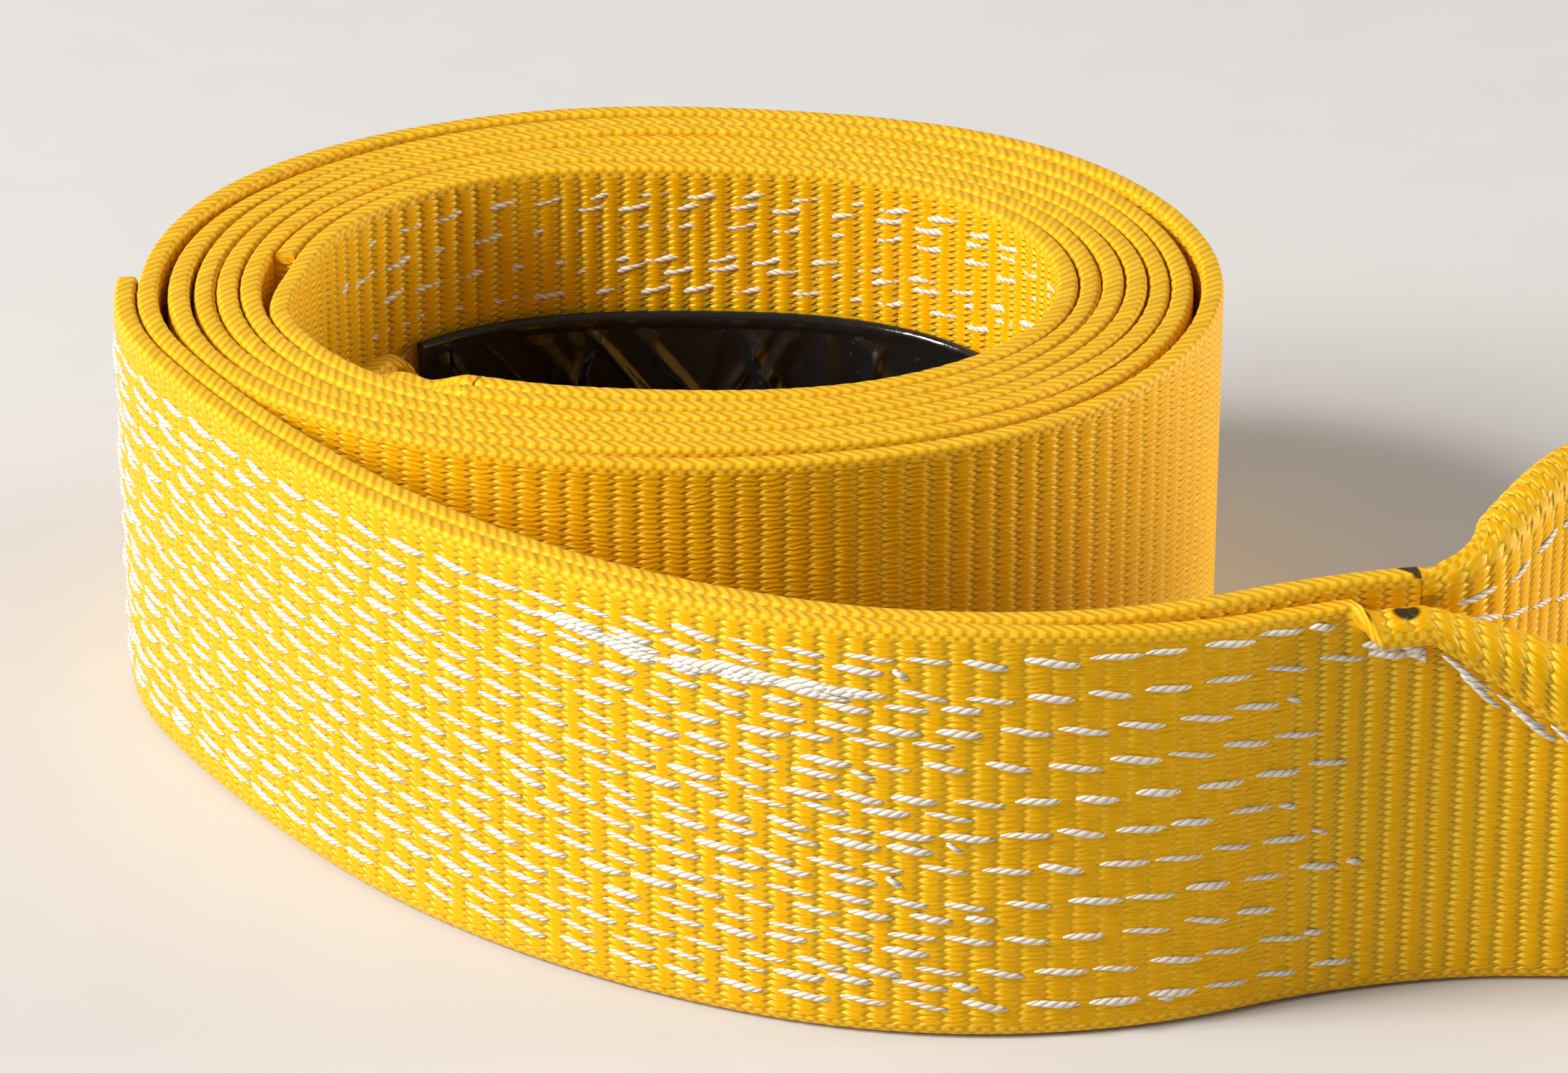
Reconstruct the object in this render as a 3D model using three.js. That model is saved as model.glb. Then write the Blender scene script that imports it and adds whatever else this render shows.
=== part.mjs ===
// Flat eye-and-eye web sling, single ply, rolled up and standing on its edge.
// Millimetres, +Z up. Everything is drawn about the middle of the roll, and the finished group is moved
// so that the origin is on the floor under the middle of the sling's box.
// The webbing is followed from the middle of the roll outwards, counter-clockwise seen from above.
import * as THREE from 'three';

// ---- webbing ----
const WEB_WIDTH = 50;
const WEB_THICKNESS = 2.4;
const PLY_GAP = 0.3;                      // air between plies that touch
const PLY_PITCH = WEB_THICKNESS + PLY_GAP;

// ---- roll: an oval spiral, radius = mean radius + ovality * cos(2 angle) ----
const ROLL_START_RADIUS = 38.7;           // mean radius of the innermost ply at angle 0
const ROLL_OVALITY = 6.2;
const ROLL_TURNS = 5.5;                   // from angle 0 to where the outer splice leaves the roll
const OUTER_WRAP_SLACK = 1.2;             // how far the last turn and a half stands off the roll
const OUTER_WRAP_SLACK_TURNS = 1.5;
const SEGMENTS_PER_TURN = 40;

// ---- splices: the web turned back on itself and sewn ----
const INNER_THROAT_ANGLE = -130;          // degrees, where the inner eye parts
const INNER_CUT_END_ANGLE = 172;          // degrees, where the inner splice's return ply is cut off
const CUT_END_STEP_ANGLE = 40;            // degrees over which the next ply closes over that cut end
const OUTER_SPLICE_STRETCHES = [          // length, as a share of the roll's end radius, and turn in degrees
  { share: 0.3064, turn: 29.5 },          // a positive turn is to the left, round the roll
  { share: 0.597, turn: 12 },
  { share: 0.9112, turn: 29.5 },
  { share: 0.8327, turn: 42 },
  { share: 0.3142, turn: -12.5 },
];
const SPLICE_STEP = 5;                    // distance between cross sections

// ---- sewing ----
const STITCH_ROWS = 11;
const STITCH_EDGE_DISTANCE = 3.8;         // from the web's edge to the first row
const THREAD_WIDTH = 1.2;
const THREAD_HEIGHT = 0.6;
const ROW_END_INSET = 6;                  // from a splice's end to the nearest row's end
const ROW_STAGGER = 4;                    // rows end at three different distances
const TAPER_STITCH_MARGIN = 1.6;          // from the folded edge's free side to its stitches

// ---- eyes: the loop is folded in half lengthwise, so it tapers from the throat ----
const EYE_LENGTH = 110;                   // throat to bearing point, pulled flat
const FOLD_DEPTH = WEB_WIDTH / 2;         // how much of the width is folded over at the crown
const THROAT_FOLD_DEPTH = 4;              // and at the throat
const TAPER_LENGTH = 60;                  // from the throat to where the fold is complete
const TAPER_SEAM_LENGTH = 50;             // from the throat to where its stitches end
const OUTER_FOLD_START = 3;               // from the throat to where the outer eye's folded edge begins
const INNER_FOLD_START = 9;               // and the inner eye's, clear of the roll's wall
const EYE_STEP = 5;

// ---- outer eye: lies open on the floor ----
const NEAR_LEG_BEND = 10.5;               // degrees, away from the roll
const NEAR_LEG_BEND_RADIUS = 60;
const FAR_LEG_BEND = 48;                  // degrees, towards the roll
const FAR_LEG_BEND_RADIUS = 14;
const FAR_LEG_LIFT = 21;                  // how high the far leg's lower edge stands off the floor
const FAR_LEG_LIFT_SHARE = 0.17;          // of the loop, over which it drops back to the floor at the throat
const JOINT_GAP = 1.2;                    // between webs that flex against each other

// ---- inner eye: pulled flat and curled up inside the roll ----
const INNER_EYE_WALL_ANGLE = 36;          // degrees along which it follows the wall
const INNER_EYE_WALL_CLEAR_LENGTH = 8.8;  // over which it moves off the wall to its full room
const INNER_EYE_TURN_RADIUS = 14;
const INNER_EYE_TURN = 128;               // degrees
const INNER_EYE_END_BEND = 40;            // degrees, back along the far wall
const INNER_EYE_END_BEND_LENGTH = 24;
const INNER_CROWN_RADIUS = 4.6;
const INNER_CROWN_LENGTH = 24;

// ---- identification tag: a strip of vinyl sewn on at one end ----
const TAG_START_ANGLE = 27;               // sewn end
const TAG_END_ANGLE = 148;                // free end
const TAG_HEIGHT = 31;
const TAG_THICKNESS = 0.8;
const TAG_FLOOR_GAP = 0.6;
const TAG_WALL_GAP = 0.9;
const TAG_SEAM_WIDTH = 1.4;
const TAG_SEAM_INSET = 4;

const RAD = Math.PI / 180;
const TURN = 360;
const smooth = (t) => THREE.MathUtils.smoothstep(t, 0, 1);

// ================= materials =================
const webMaterial = new THREE.MeshStandardMaterial({ color: 0xf2b705, roughness: 0.62, metalness: 0 });
const threadMaterial = new THREE.MeshStandardMaterial({ color: 0xe9e4d2, roughness: 0.5, metalness: 0 });
const vinylMaterial = new THREE.MeshStandardMaterial({ color: 0x0c0d0f, roughness: 0.25, metalness: 0 });

// ================= centre lines =================
// Radius of the spiral web's centre line at an angle in degrees.
// The web steps out by one ply after the inner splice's cut end, to make room for the doubled stretch.
function rollRadius(angle) {
  const step = PLY_PITCH * smooth((angle - INNER_CUT_END_ANGLE - 2) / CUT_END_STEP_ANGLE);
  const slackStart = (ROLL_TURNS - OUTER_WRAP_SLACK_TURNS) * TURN;
  const slack = OUTER_WRAP_SLACK * smooth((angle - slackStart) / (OUTER_WRAP_SLACK_TURNS * TURN));
  const oval = ROLL_OVALITY * Math.cos(2 * angle * RAD);
  return ROLL_START_RADIUS + PLY_PITCH * angle / TURN + step + slack + oval;
}

// Unit vector at an angle in radians, and a point at a radius and an angle in degrees.
const direction = (angle) => new THREE.Vector2(Math.cos(angle), Math.sin(angle));
const polar = (radius, angle) => direction(angle * RAD).multiplyScalar(radius);

// Points of the spiral between two angles, moved outwards by an offset.
function rollPoints(startAngle, endAngle, offset = () => 0) {
  const step = TURN / SEGMENTS_PER_TURN;
  const angles = [startAngle];
  for (let angle = (Math.floor(startAngle / step) + 1) * step; angle < endAngle - 1; angle += step) {
    if (angle - startAngle > 1) angles.push(angle);
  }
  angles.push(endAngle);
  return angles.map((angle) => polar(rollRadius(angle) + offset(angle), angle));
}

// A walk in the plane: each stretch has a length and a turn. It returns evenly spaced points.
function walk(start, heading, pieces, step) {
  const points = [start.clone()];
  let point = start.clone();
  let facing = heading;
  for (const { length, turn } of pieces) {
    const steps = Math.max(1, Math.round(length / step));
    const part = turn * RAD / steps;
    const chord = Math.abs(part) < 1e-9 ? length / steps : (length / (steps * part)) * 2 * Math.sin(part / 2);
    for (let i = 0; i < steps; i += 1) {
      point = point.clone().addScaledVector(direction(facing + part / 2), chord);
      facing += part;
      points.push(point);
    }
  }
  return { points, heading: facing };
}

// Unit normals to the left of a line of points.
function leftNormals(points) {
  return points.map((point, i) => {
    const before = points[Math.max(0, i - 1)];
    const after = points[Math.min(points.length - 1, i + 1)];
    const along = after.clone().sub(before).normalize();
    return new THREE.Vector2(-along.y, along.x);
  });
}

// The line moved to its left; the distance may change along it.
function offsetLine(points, distance) {
  const normals = leftNormals(points);
  const at = typeof distance === 'function' ? distance : () => distance;
  return points.map((point, i) => point.clone().addScaledVector(normals[i], at(i)));
}

function distancesAlong(points) {
  const distances = [0];
  for (let i = 1; i < points.length; i += 1) {
    distances.push(distances[i - 1] + points[i].distanceTo(points[i - 1]));
  }
  return distances;
}

// ================= solids =================
// A band standing on its edge: a box with one length segment per point of the line, bent along it.
// Its lower and upper edges may vary with the distance along the line.
function standingBand(line, thickness, lowerEdge, upperEdge, distances) {
  const segments = line.length - 1;
  const geometry = new THREE.BoxGeometry(segments, 1, 1, segments, 1, 1);
  const left = offsetLine(line, thickness / 2);
  const right = offsetLine(line, -thickness / 2);
  const position = geometry.getAttribute('position');
  for (let i = 0; i < position.count; i += 1) {
    const station = Math.round(position.getX(i) + segments / 2);
    const side = position.getY(i) > 0 ? left : right;
    const height = position.getZ(i) > 0 ? upperEdge : lowerEdge;
    position.setXYZ(i, side[station].x, side[station].y, height(distances[station]));
  }
  geometry.computeVertexNormals();
  return geometry;
}

const sling = new THREE.Group();

function addBand(name, material, line, thickness, lowerEdge, upperEdge, distances = distancesAlong(line)) {
  const at = (value) => (typeof value === 'function' ? value : () => value);
  const geometry = standingBand(line, thickness, at(lowerEdge), at(upperEdge), distances);
  const mesh = new THREE.Mesh(geometry, material);
  mesh.name = name;
  sling.add(mesh);
}

const rowNumber = (i) => String(i + 1).padStart(2, '0');
const rowHeight = (i) => STITCH_EDGE_DISTANCE
  + i * (WEB_WIDTH - 2 * STITCH_EDGE_DISTANCE) / (STITCH_ROWS - 1);
const THREAD_OFFSET = WEB_THICKNESS / 2 + PLY_GAP + THREAD_HEIGHT / 2;

// ================= roll and inner splice =================
const rollEndAngle = ROLL_TURNS * TURN;
const coilLine = rollPoints(INNER_THROAT_ANGLE, rollEndAngle);
addBand('coiled_web', webMaterial, coilLine, WEB_THICKNESS, 0, WEB_WIDTH);

const innerReturnLine = rollPoints(INNER_THROAT_ANGLE, INNER_CUT_END_ANGLE, () => PLY_PITCH);
addBand('inner_splice_return_ply', webMaterial, innerReturnLine, WEB_THICKNESS, 0, WEB_WIDTH);

const degreesPerMm = 1 / (RAD * ROLL_START_RADIUS);
for (let i = 0; i < STITCH_ROWS; i += 1) {
  const inset = (ROW_END_INSET + ROW_STAGGER * (i % 3)) * degreesPerMm;
  const start = INNER_THROAT_ANGLE + inset;
  const line = rollPoints(start, INNER_CUT_END_ANGLE - inset, () => -THREAD_OFFSET);
  const z = rowHeight(i);
  addBand(`inner_splice_stitch_row_${rowNumber(i)}`, threadMaterial, line, THREAD_HEIGHT,
    z - THREAD_WIDTH / 2, z + THREAD_WIDTH / 2);
}

// ================= outer splice =================
// The middle line runs between the two plies; the body ply is on the roll's side of it.
const rollEnd = coilLine[coilLine.length - 1];
const rollEndTangent = polar(rollRadius(rollEndAngle + 0.5), rollEndAngle + 0.5)
  .sub(polar(rollRadius(rollEndAngle - 0.5), rollEndAngle - 0.5));
const rollEndHeading = Math.atan2(rollEndTangent.y, rollEndTangent.x);
const outward = direction(rollEndHeading - Math.PI / 2);
const ahead = direction(rollEndHeading);
const spliceStart = rollEnd.clone().addScaledVector(outward, PLY_PITCH / 2).addScaledVector(ahead, JOINT_GAP);
const rollEndRadius = rollEnd.length();
const splicePieces = OUTER_SPLICE_STRETCHES.map(({ share, turn }) => ({ length: share * rollEndRadius, turn }));
const outerSplice = walk(spliceStart, rollEndHeading, splicePieces, SPLICE_STEP);
const outerBodyLine = offsetLine(outerSplice.points, PLY_PITCH / 2);
const outerReturnLine = offsetLine(outerSplice.points, -PLY_PITCH / 2);
addBand('outer_splice_body_ply', webMaterial, outerBodyLine, WEB_THICKNESS, 0, WEB_WIDTH);
addBand('outer_splice_return_ply', webMaterial, outerReturnLine, WEB_THICKNESS, 0, WEB_WIDTH);

const outerThreadLine = offsetLine(outerReturnLine, -THREAD_OFFSET);
const outerThreadDistances = distancesAlong(outerThreadLine);
const outerSpliceLength = outerThreadDistances[outerThreadDistances.length - 1];
for (let i = 0; i < STITCH_ROWS; i += 1) {
  const inset = ROW_END_INSET + ROW_STAGGER * (i % 3);
  const line = outerThreadLine.filter((_, k) => outerThreadDistances[k] > inset
    && outerThreadDistances[k] < outerSpliceLength - inset);
  const z = rowHeight(i);
  addBand(`outer_splice_stitch_row_${rowNumber(i)}`, threadMaterial, line, THREAD_HEIGHT,
    z - THREAD_WIDTH / 2, z + THREAD_WIDTH / 2);
}

// ================= eyes =================
// Depth of the fold at a distance from the nearer throat.
function foldDepth(distance) {
  return Math.min(FOLD_DEPTH, THREE.MathUtils.lerp(THROAT_FOLD_DEPTH, FOLD_DEPTH, distance / TAPER_LENGTH));
}

// An eye from the line of its web's centre, walked round the loop with the opening on its left.
function addEye(prefix, legs, loop, foldStart, lift) {
  const along = distancesAlong(loop);
  const total = along.at(-1);
  const depth = (distance) => foldDepth(Math.min(distance, total - distance));
  const lower = (distance) => lift(distance / total);
  const upper = (distance) => lower(distance) + WEB_WIDTH - depth(distance);
  const hem = (distance) => upper(distance) - depth(distance);
  addBand(`${prefix}_eye_web`, webMaterial, loop, WEB_THICKNESS, lower, upper);

  // The part of the loop between two distances, moved outwards.
  const stretch = (start, end, outwards) => {
    const moved = offsetLine(loop, -outwards);
    const kept = along.flatMap((distance, i) => (distance > start && distance < end ? [i] : []));
    return { line: kept.map((i) => moved[i]), distances: kept.map((i) => along[i]) };
  };
  const fold = stretch(foldStart, total - foldStart, PLY_PITCH);
  addBand(`${prefix}_eye_folded_edge`, webMaterial, fold.line, WEB_THICKNESS, hem, upper, fold.distances);

  const stitchStart = foldStart + EYE_STEP;
  const stitched = [
    [legs[0], stitchStart, TAPER_SEAM_LENGTH],
    [legs[1], total - TAPER_SEAM_LENGTH, total - stitchStart],
  ];
  for (const [leg, start, end] of stitched) {
    const seam = stretch(start, end, PLY_PITCH + THREAD_OFFSET);
    const bottom = (distance) => hem(distance) + TAPER_STITCH_MARGIN - THREAD_WIDTH / 2;
    const top = (distance) => bottom(distance) + THREAD_WIDTH;
    addBand(`${prefix}_eye_${leg}_taper_stitch`, threadMaterial, seam.line, THREAD_HEIGHT, bottom, top,
      seam.distances);
  }
}

// Outer eye: walked along the near leg, round the crown and back along the far leg.
const throatHeading = outerSplice.heading;
const throatMiddle = outerSplice.points.at(-1);
const throatAhead = direction(throatHeading);
const throatLeft = direction(throatHeading + Math.PI / 2);
const nearStart = throatMiddle.clone().addScaledVector(throatAhead, JOINT_GAP)
  .addScaledVector(throatLeft, -PLY_PITCH / 2);

// Each leg bends away from the throat's heading, then runs straight to a round crown.
const nearHeading = throatHeading - NEAR_LEG_BEND * RAD;
const farHeading = throatHeading + FAR_LEG_BEND * RAD;
const nearBend = { length: NEAR_LEG_BEND_RADIUS * NEAR_LEG_BEND * RAD, turn: -NEAR_LEG_BEND };
const farBend = { length: FAR_LEG_BEND_RADIUS * FAR_LEG_BEND * RAD, turn: FAR_LEG_BEND };
const farStart = nearStart.clone().addScaledVector(throatLeft, PLY_PITCH);
const nearBendEnd = walk(nearStart, throatHeading, [nearBend], EYE_STEP).points.at(-1);
const farBendEnd = walk(farStart, throatHeading, [farBend], EYE_STEP).points.at(-1);
const crownTurn = Math.PI + farHeading - nearHeading;

// Straight lengths of both legs, for a crown that is tangent to them.
function straightLengths(crownRadius) {
  const near = direction(nearHeading);
  const far = direction(farHeading);
  const span = farBendEnd.clone().sub(nearBendEnd)
    .addScaledVector(direction(farHeading - Math.PI / 2), crownRadius)
    .addScaledVector(direction(nearHeading + Math.PI / 2), -crownRadius);
  const opening = near.cross(far);
  return { near: span.cross(far) / opening, far: span.cross(near) / opening };
}
function loopLength(crownRadius) {
  const { near, far } = straightLengths(crownRadius);
  return nearBend.length + near + crownRadius * crownTurn + far + farBend.length;
}
const lengthGain = loopLength(1) - loopLength(0);
const crownRadius = (2 * EYE_LENGTH - loopLength(0)) / lengthGain;
const straight = straightLengths(crownRadius);
const outerLoopLine = walk(nearStart, throatHeading, [
  nearBend,
  { length: straight.near, turn: 0 },
  { length: crownRadius * crownTurn, turn: crownTurn / RAD },
  { length: straight.far, turn: 0 },
  { length: farBend.length, turn: -FAR_LEG_BEND },
], EYE_STEP).points;
const outerLift = (t) => FAR_LEG_LIFT * smooth((t - 0.3) / 0.45) * smooth((1 - t) / FAR_LEG_LIFT_SHARE);
addEye('outer', ['near_leg', 'far_leg'], outerLoopLine, OUTER_FOLD_START, outerLift);

// Inner eye: its middle line follows the wall, turns back and crosses the roll's hollow.
const legRoom = 4 * PLY_GAP + THREAD_HEIGHT + WEB_THICKNESS + PLY_PITCH;
const startRoom = PLY_GAP + WEB_THICKNESS + PLY_GAP / 2;
const wallAngles = [];
const wallStep = TURN / SEGMENTS_PER_TURN;
for (let angle = 0; angle <= INNER_EYE_WALL_ANGLE; angle += wallStep / 2) wallAngles.push(angle);
const clearAngle = INNER_EYE_WALL_CLEAR_LENGTH * degreesPerMm;
const innerEyeStart = INNER_THROAT_ANGLE - JOINT_GAP * degreesPerMm;
const innerMiddle = wallAngles.map((turned) => {
  const angle = innerEyeStart - turned;
  const wallFace = rollRadius(angle + TURN) - WEB_THICKNESS / 2;
  const room = THREE.MathUtils.lerp(startRoom, legRoom, smooth(turned / clearAngle));
  return polar(wallFace - room, angle);
});
const wallEnd = innerMiddle.at(-1);
const wallEndDirection = wallEnd.clone().sub(innerMiddle.at(-2));
const wallLength = distancesAlong(innerMiddle).at(-1);
const turnLength = INNER_EYE_TURN_RADIUS * INNER_EYE_TURN * RAD;
const straightLength = EYE_LENGTH - wallLength - turnLength - INNER_EYE_END_BEND_LENGTH - INNER_CROWN_RADIUS;
const innerWalk = walk(wallEnd, Math.atan2(wallEndDirection.y, wallEndDirection.x), [
  { length: turnLength, turn: -INNER_EYE_TURN },
  { length: straightLength, turn: 0 },
  { length: INNER_EYE_END_BEND_LENGTH, turn: INNER_EYE_END_BEND },
], EYE_STEP);
const innerMiddleLine = [...innerMiddle, ...innerWalk.points.slice(1)];
const innerDistances = distancesAlong(innerMiddleLine);
const innerLength = innerDistances.at(-1);
const legSpread = (i) => THREE.MathUtils.lerp(PLY_PITCH / 2, INNER_CROWN_RADIUS,
  smooth((innerDistances[i] - innerLength + INNER_CROWN_LENGTH) / INNER_CROWN_LENGTH));
const wallSideLeg = offsetLine(innerMiddleLine, legSpread);
const hollowSideLeg = offsetLine(innerMiddleLine, (i) => -legSpread(i));
const innerCrown = walk(hollowSideLeg.at(-1), innerWalk.heading,
  [{ length: Math.PI * INNER_CROWN_RADIUS, turn: 180 }], INNER_CROWN_RADIUS / 2).points.slice(1, -1);
const innerLoopLine = [...hollowSideLeg, ...innerCrown, ...wallSideLeg.slice().reverse()];
addEye('inner', ['hollow_side_leg', 'wall_side_leg'], innerLoopLine, INNER_FOLD_START, () => 0);

// ================= identification tag =================
const tagOffset = -(WEB_THICKNESS / 2 + PLY_GAP + THREAD_HEIGHT + TAG_WALL_GAP + TAG_THICKNESS / 2);
const tagLine = rollPoints(TAG_START_ANGLE, TAG_END_ANGLE, () => tagOffset);
addBand('id_tag', vinylMaterial, tagLine, TAG_THICKNESS, TAG_FLOOR_GAP, TAG_FLOOR_GAP + TAG_HEIGHT);

const seamAngle = TAG_START_ANGLE + TAG_SEAM_INSET * degreesPerMm;
const seamHalfAngle = TAG_SEAM_WIDTH / 2 * degreesPerMm;
const seamOffset = tagOffset - TAG_THICKNESS / 2 - PLY_GAP - THREAD_HEIGHT / 2;
const seamLine = rollPoints(seamAngle - seamHalfAngle, seamAngle + seamHalfAngle, () => seamOffset);
addBand('id_tag_seam_stitch', threadMaterial, seamLine, THREAD_HEIGHT,
  TAG_FLOOR_GAP + TAG_SEAM_WIDTH, TAG_FLOOR_GAP + TAG_HEIGHT - TAG_SEAM_WIDTH);

// The origin is on the floor, under the middle of the whole sling as it lies.
const middle = new THREE.Box3().setFromObject(sling).getCenter(new THREE.Vector3());
sling.position.set(-middle.x, -middle.y, 0);

export default sling;
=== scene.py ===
"""Flat eye-and-eye web sling, rolled up on its edge: the woven web, its sewing and its tag.

The routes below are laid out in millimetres about the middle of the roll.
They become metres in the frame when a mesh is made.
"""

import math

import bpy
import numpy as np
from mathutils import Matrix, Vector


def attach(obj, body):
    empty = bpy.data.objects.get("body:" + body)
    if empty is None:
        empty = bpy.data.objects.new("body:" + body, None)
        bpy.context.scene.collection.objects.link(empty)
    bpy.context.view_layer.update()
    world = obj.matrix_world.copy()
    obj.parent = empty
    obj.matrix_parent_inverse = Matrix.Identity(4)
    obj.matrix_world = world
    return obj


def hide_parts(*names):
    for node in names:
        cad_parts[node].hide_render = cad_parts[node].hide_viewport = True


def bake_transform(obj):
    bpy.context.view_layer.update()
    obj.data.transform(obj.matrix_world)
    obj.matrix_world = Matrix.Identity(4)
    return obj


bl_info = {
    "name": "Rolled web sling",
    "version": (1, 0, 0),
    "blender": (4, 5, 0),
    "location": "View3D > Sidebar > Web sling",
    "description": "Builds a rolled flat web sling around its fixed frame",
    "category": "Add Mesh",
}

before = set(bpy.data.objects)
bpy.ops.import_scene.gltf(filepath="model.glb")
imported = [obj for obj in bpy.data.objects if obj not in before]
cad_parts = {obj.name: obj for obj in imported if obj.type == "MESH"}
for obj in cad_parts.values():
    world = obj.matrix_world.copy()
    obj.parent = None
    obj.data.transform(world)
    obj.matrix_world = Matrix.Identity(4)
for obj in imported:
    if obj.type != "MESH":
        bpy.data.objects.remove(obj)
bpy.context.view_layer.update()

# ---- sizes of the sling, millimetres and degrees ----
WEB_WIDTH = 50.0
WEB_THICKNESS = 2.4
PLY_GAP = 0.3
PLY_PITCH = WEB_THICKNESS + PLY_GAP
ROLL_START_RADIUS = 38.7
ROLL_OVALITY = 6.2  # how much the radius grows along X and shrinks along Y
ROLL_TURNS = 5.5  # from angle 0 to where the outer splice leaves the roll
OUTER_WRAP_SLACK = 1.2  # how far the last turns stand off
OUTER_WRAP_SLACK_TURNS = 1.5
INNER_THROAT_ANGLE = -130.0
INNER_CUT_END_ANGLE = 172.0
CUT_END_STEP_ANGLE = 20.0  # over which the next turn steps off the inner cut end
# each stretch's length, as a share of the roll's last radius, and its turn
OUTER_SPLICE_STRETCHES = [(0.3064, 29.5), (0.597, 12), (0.9112, 29.5), (0.8327, 42), (0.3142, -12.5)]
STITCH_ROWS = 11
STITCH_EDGE_DISTANCE = 3.8
ROW_END_INSET = 6.0
ROW_STAGGER = 4.0
EYE_LENGTH = 110.0
FOLD_DEPTH = WEB_WIDTH / 2  # how much of the width is turned over in an eye
THROAT_FOLD_DEPTH = 4.0
TAPER_LENGTH = 60.0  # from a throat to the full fold
TAPER_SEAM_LENGTH = 50.0
NEAR_LEG_BEND = 10.5
NEAR_LEG_BEND_RADIUS = 60.0
FAR_LEG_BEND = 48.0
FAR_LEG_BEND_RADIUS = 14.0
FAR_LEG_LIFT = 21.0
FAR_LEG_LIFT_SHARE = 0.22  # of the eye's web, over which the far leg comes back down
INNER_EYE_WALL_ANGLE = 36.0
INNER_EYE_WALL_CLEAR_LENGTH = 8.8
INNER_EYE_TURN_RADIUS = 14.0
INNER_EYE_TURN = 128.0
INNER_EYE_END_BEND = 40.0
INNER_EYE_END_BEND_LENGTH = 24.0
INNER_CROWN_RADIUS = 4.6
INNER_CROWN_LENGTH = 24.0
TAG_START_ANGLE = 27.0
TAG_END_ANGLE = 148.0
TAG_HEIGHT = 31.0
TAG_THICKNESS = 0.8
TAG_FLOOR_GAP = 0.6
TAG_WALL_GAP = 0.9
THREAD_HEIGHT = 0.6

JOINT_GAP = 1.2  # of straight web at each end of the outer splice and eye
FINE = 0.25  # distance between the points of a route
ROLL_CENTRE = (-49.43412, 19.477022)  # in the frame
FOLD_RADIUS = 1.9  # of the web's middle where it turns over
CURL_LENGTH = 7.0  # over which an eye's fold closes, from its throat
EARLY_FOLD = 8.5  # how far before the throat the near leg's fold begins
EARLY_CURL_LENGTH = 2.6  # over which that fold closes
INNER_FOLD_START = 36.0  # from the inner throat, where its fold has room
THROAT_DROP = 0.5  # of the far ply's edge at the outer throat
NEAR_START = 2700.0  # cloth distance at which the return ply starts and the outer eye follows
FAR_START = 5400.0  # cloth distance at which the body ply starts
SELVEDGE = 1.0  # how far a ply rounds off at its edges
WALL_RIBS = 1.7  # how much more the ribs stand out inside the roll
SWELL = 0.09  # by how much the woven plies fill their gaps, on each face
WEB_FACE = WEB_THICKNESS / 2
NECK_LENGTH = 11.0  # of the inner eye's web on each side of its throat's joint
THREAD_SINK = 0.25  # how far the inner rows lie in the web
RETURN_ROW_RISE = 2.1  # of a closer row above its lock stitches


# ================= routes =================
def smooth(t):
    """0 up to t = 0, 1 from t = 1 on, and a smooth step between."""
    t = np.clip(t, 0.0, 1.0)
    return t * t * (3.0 - 2.0 * t)


def roll_radius(angle):
    """Radius of the coiled web's centre line at an angle in degrees."""
    step = PLY_PITCH * smooth((angle - INNER_CUT_END_ANGLE - 2) / CUT_END_STEP_ANGLE)
    slack_start = (ROLL_TURNS - OUTER_WRAP_SLACK_TURNS) * 360
    slack = OUTER_WRAP_SLACK * smooth((angle - slack_start) / (OUTER_WRAP_SLACK_TURNS * 360))
    oval = ROLL_OVALITY * np.cos(np.radians(2 * angle))
    return ROLL_START_RADIUS + PLY_PITCH * angle / 360 + step + slack + oval


def polar(radius, angle):
    return np.stack([radius * np.cos(np.radians(angle)), radius * np.sin(np.radians(angle))], -1)


def facing(angle):
    """The unit vector at a heading in radians."""
    return np.array([math.cos(angle), math.sin(angle)])


def roll_heading(angle):
    """Heading in radians of the coiled web at an angle in degrees."""
    after, before = angle + 0.5, angle - 0.5
    tangent = polar(roll_radius(after), after) - polar(roll_radius(before), before)
    return math.atan2(tangent[1], tangent[0])


class Route:
    """A smooth line on the floor, read by the distance along it."""

    def __init__(self, points):
        self.points = np.asarray(points, float)
        steps = np.linalg.norm(np.diff(self.points, axis=0), axis=1)
        self.distance = np.concatenate([[0.0], np.cumsum(steps)])
        self.length = float(self.distance[-1])
        along = np.gradient(self.points, self.distance, axis=0)
        along /= np.linalg.norm(along, axis=1)[:, None]
        self.left = np.stack([-along[:, 1], along[:, 0]], 1)

    def at(self, distance):
        """Points and left-hand normals at distances along the route."""
        point = np.stack([np.interp(distance, self.distance, self.points[:, k]) for k in (0, 1)], -1)
        left = np.stack([np.interp(distance, self.distance, self.left[:, k]) for k in (0, 1)], -1)
        return point, left / np.linalg.norm(left, axis=-1)[..., None]

    def moved(self, to_left):
        """A route beside this one; the offset may change along it."""
        return Route(self.points + self.left * np.reshape(to_left, (-1, 1)))


def walk(start, heading, stretches):
    """Points of a walk whose stretches each have a length and a turn in degrees, and the last heading."""
    points, point, angle = [np.array(start, float)], np.array(start, float), heading
    for length, turn in stretches:
        steps = max(1, round(length / FINE))
        part = math.radians(turn) / steps
        for _ in range(steps):
            point = point + facing(angle + part / 2) * length / steps
            angle += part
            points.append(point)
    return np.array(points), angle


def spiral(start_angle, end_angle, offset=0.0):
    count = int((end_angle - start_angle) * math.radians(ROLL_START_RADIUS) / FINE)
    angle = np.linspace(start_angle, end_angle, count)
    return Route(polar(roll_radius(angle) + offset, angle))


ROLL_END_ANGLE = ROLL_TURNS * 360
COIL = spiral(INNER_THROAT_ANGLE, ROLL_END_ANGLE)
ROLL_END = COIL.points[-1]
ROLL_END_HEADING = roll_heading(ROLL_END_ANGLE)


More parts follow.
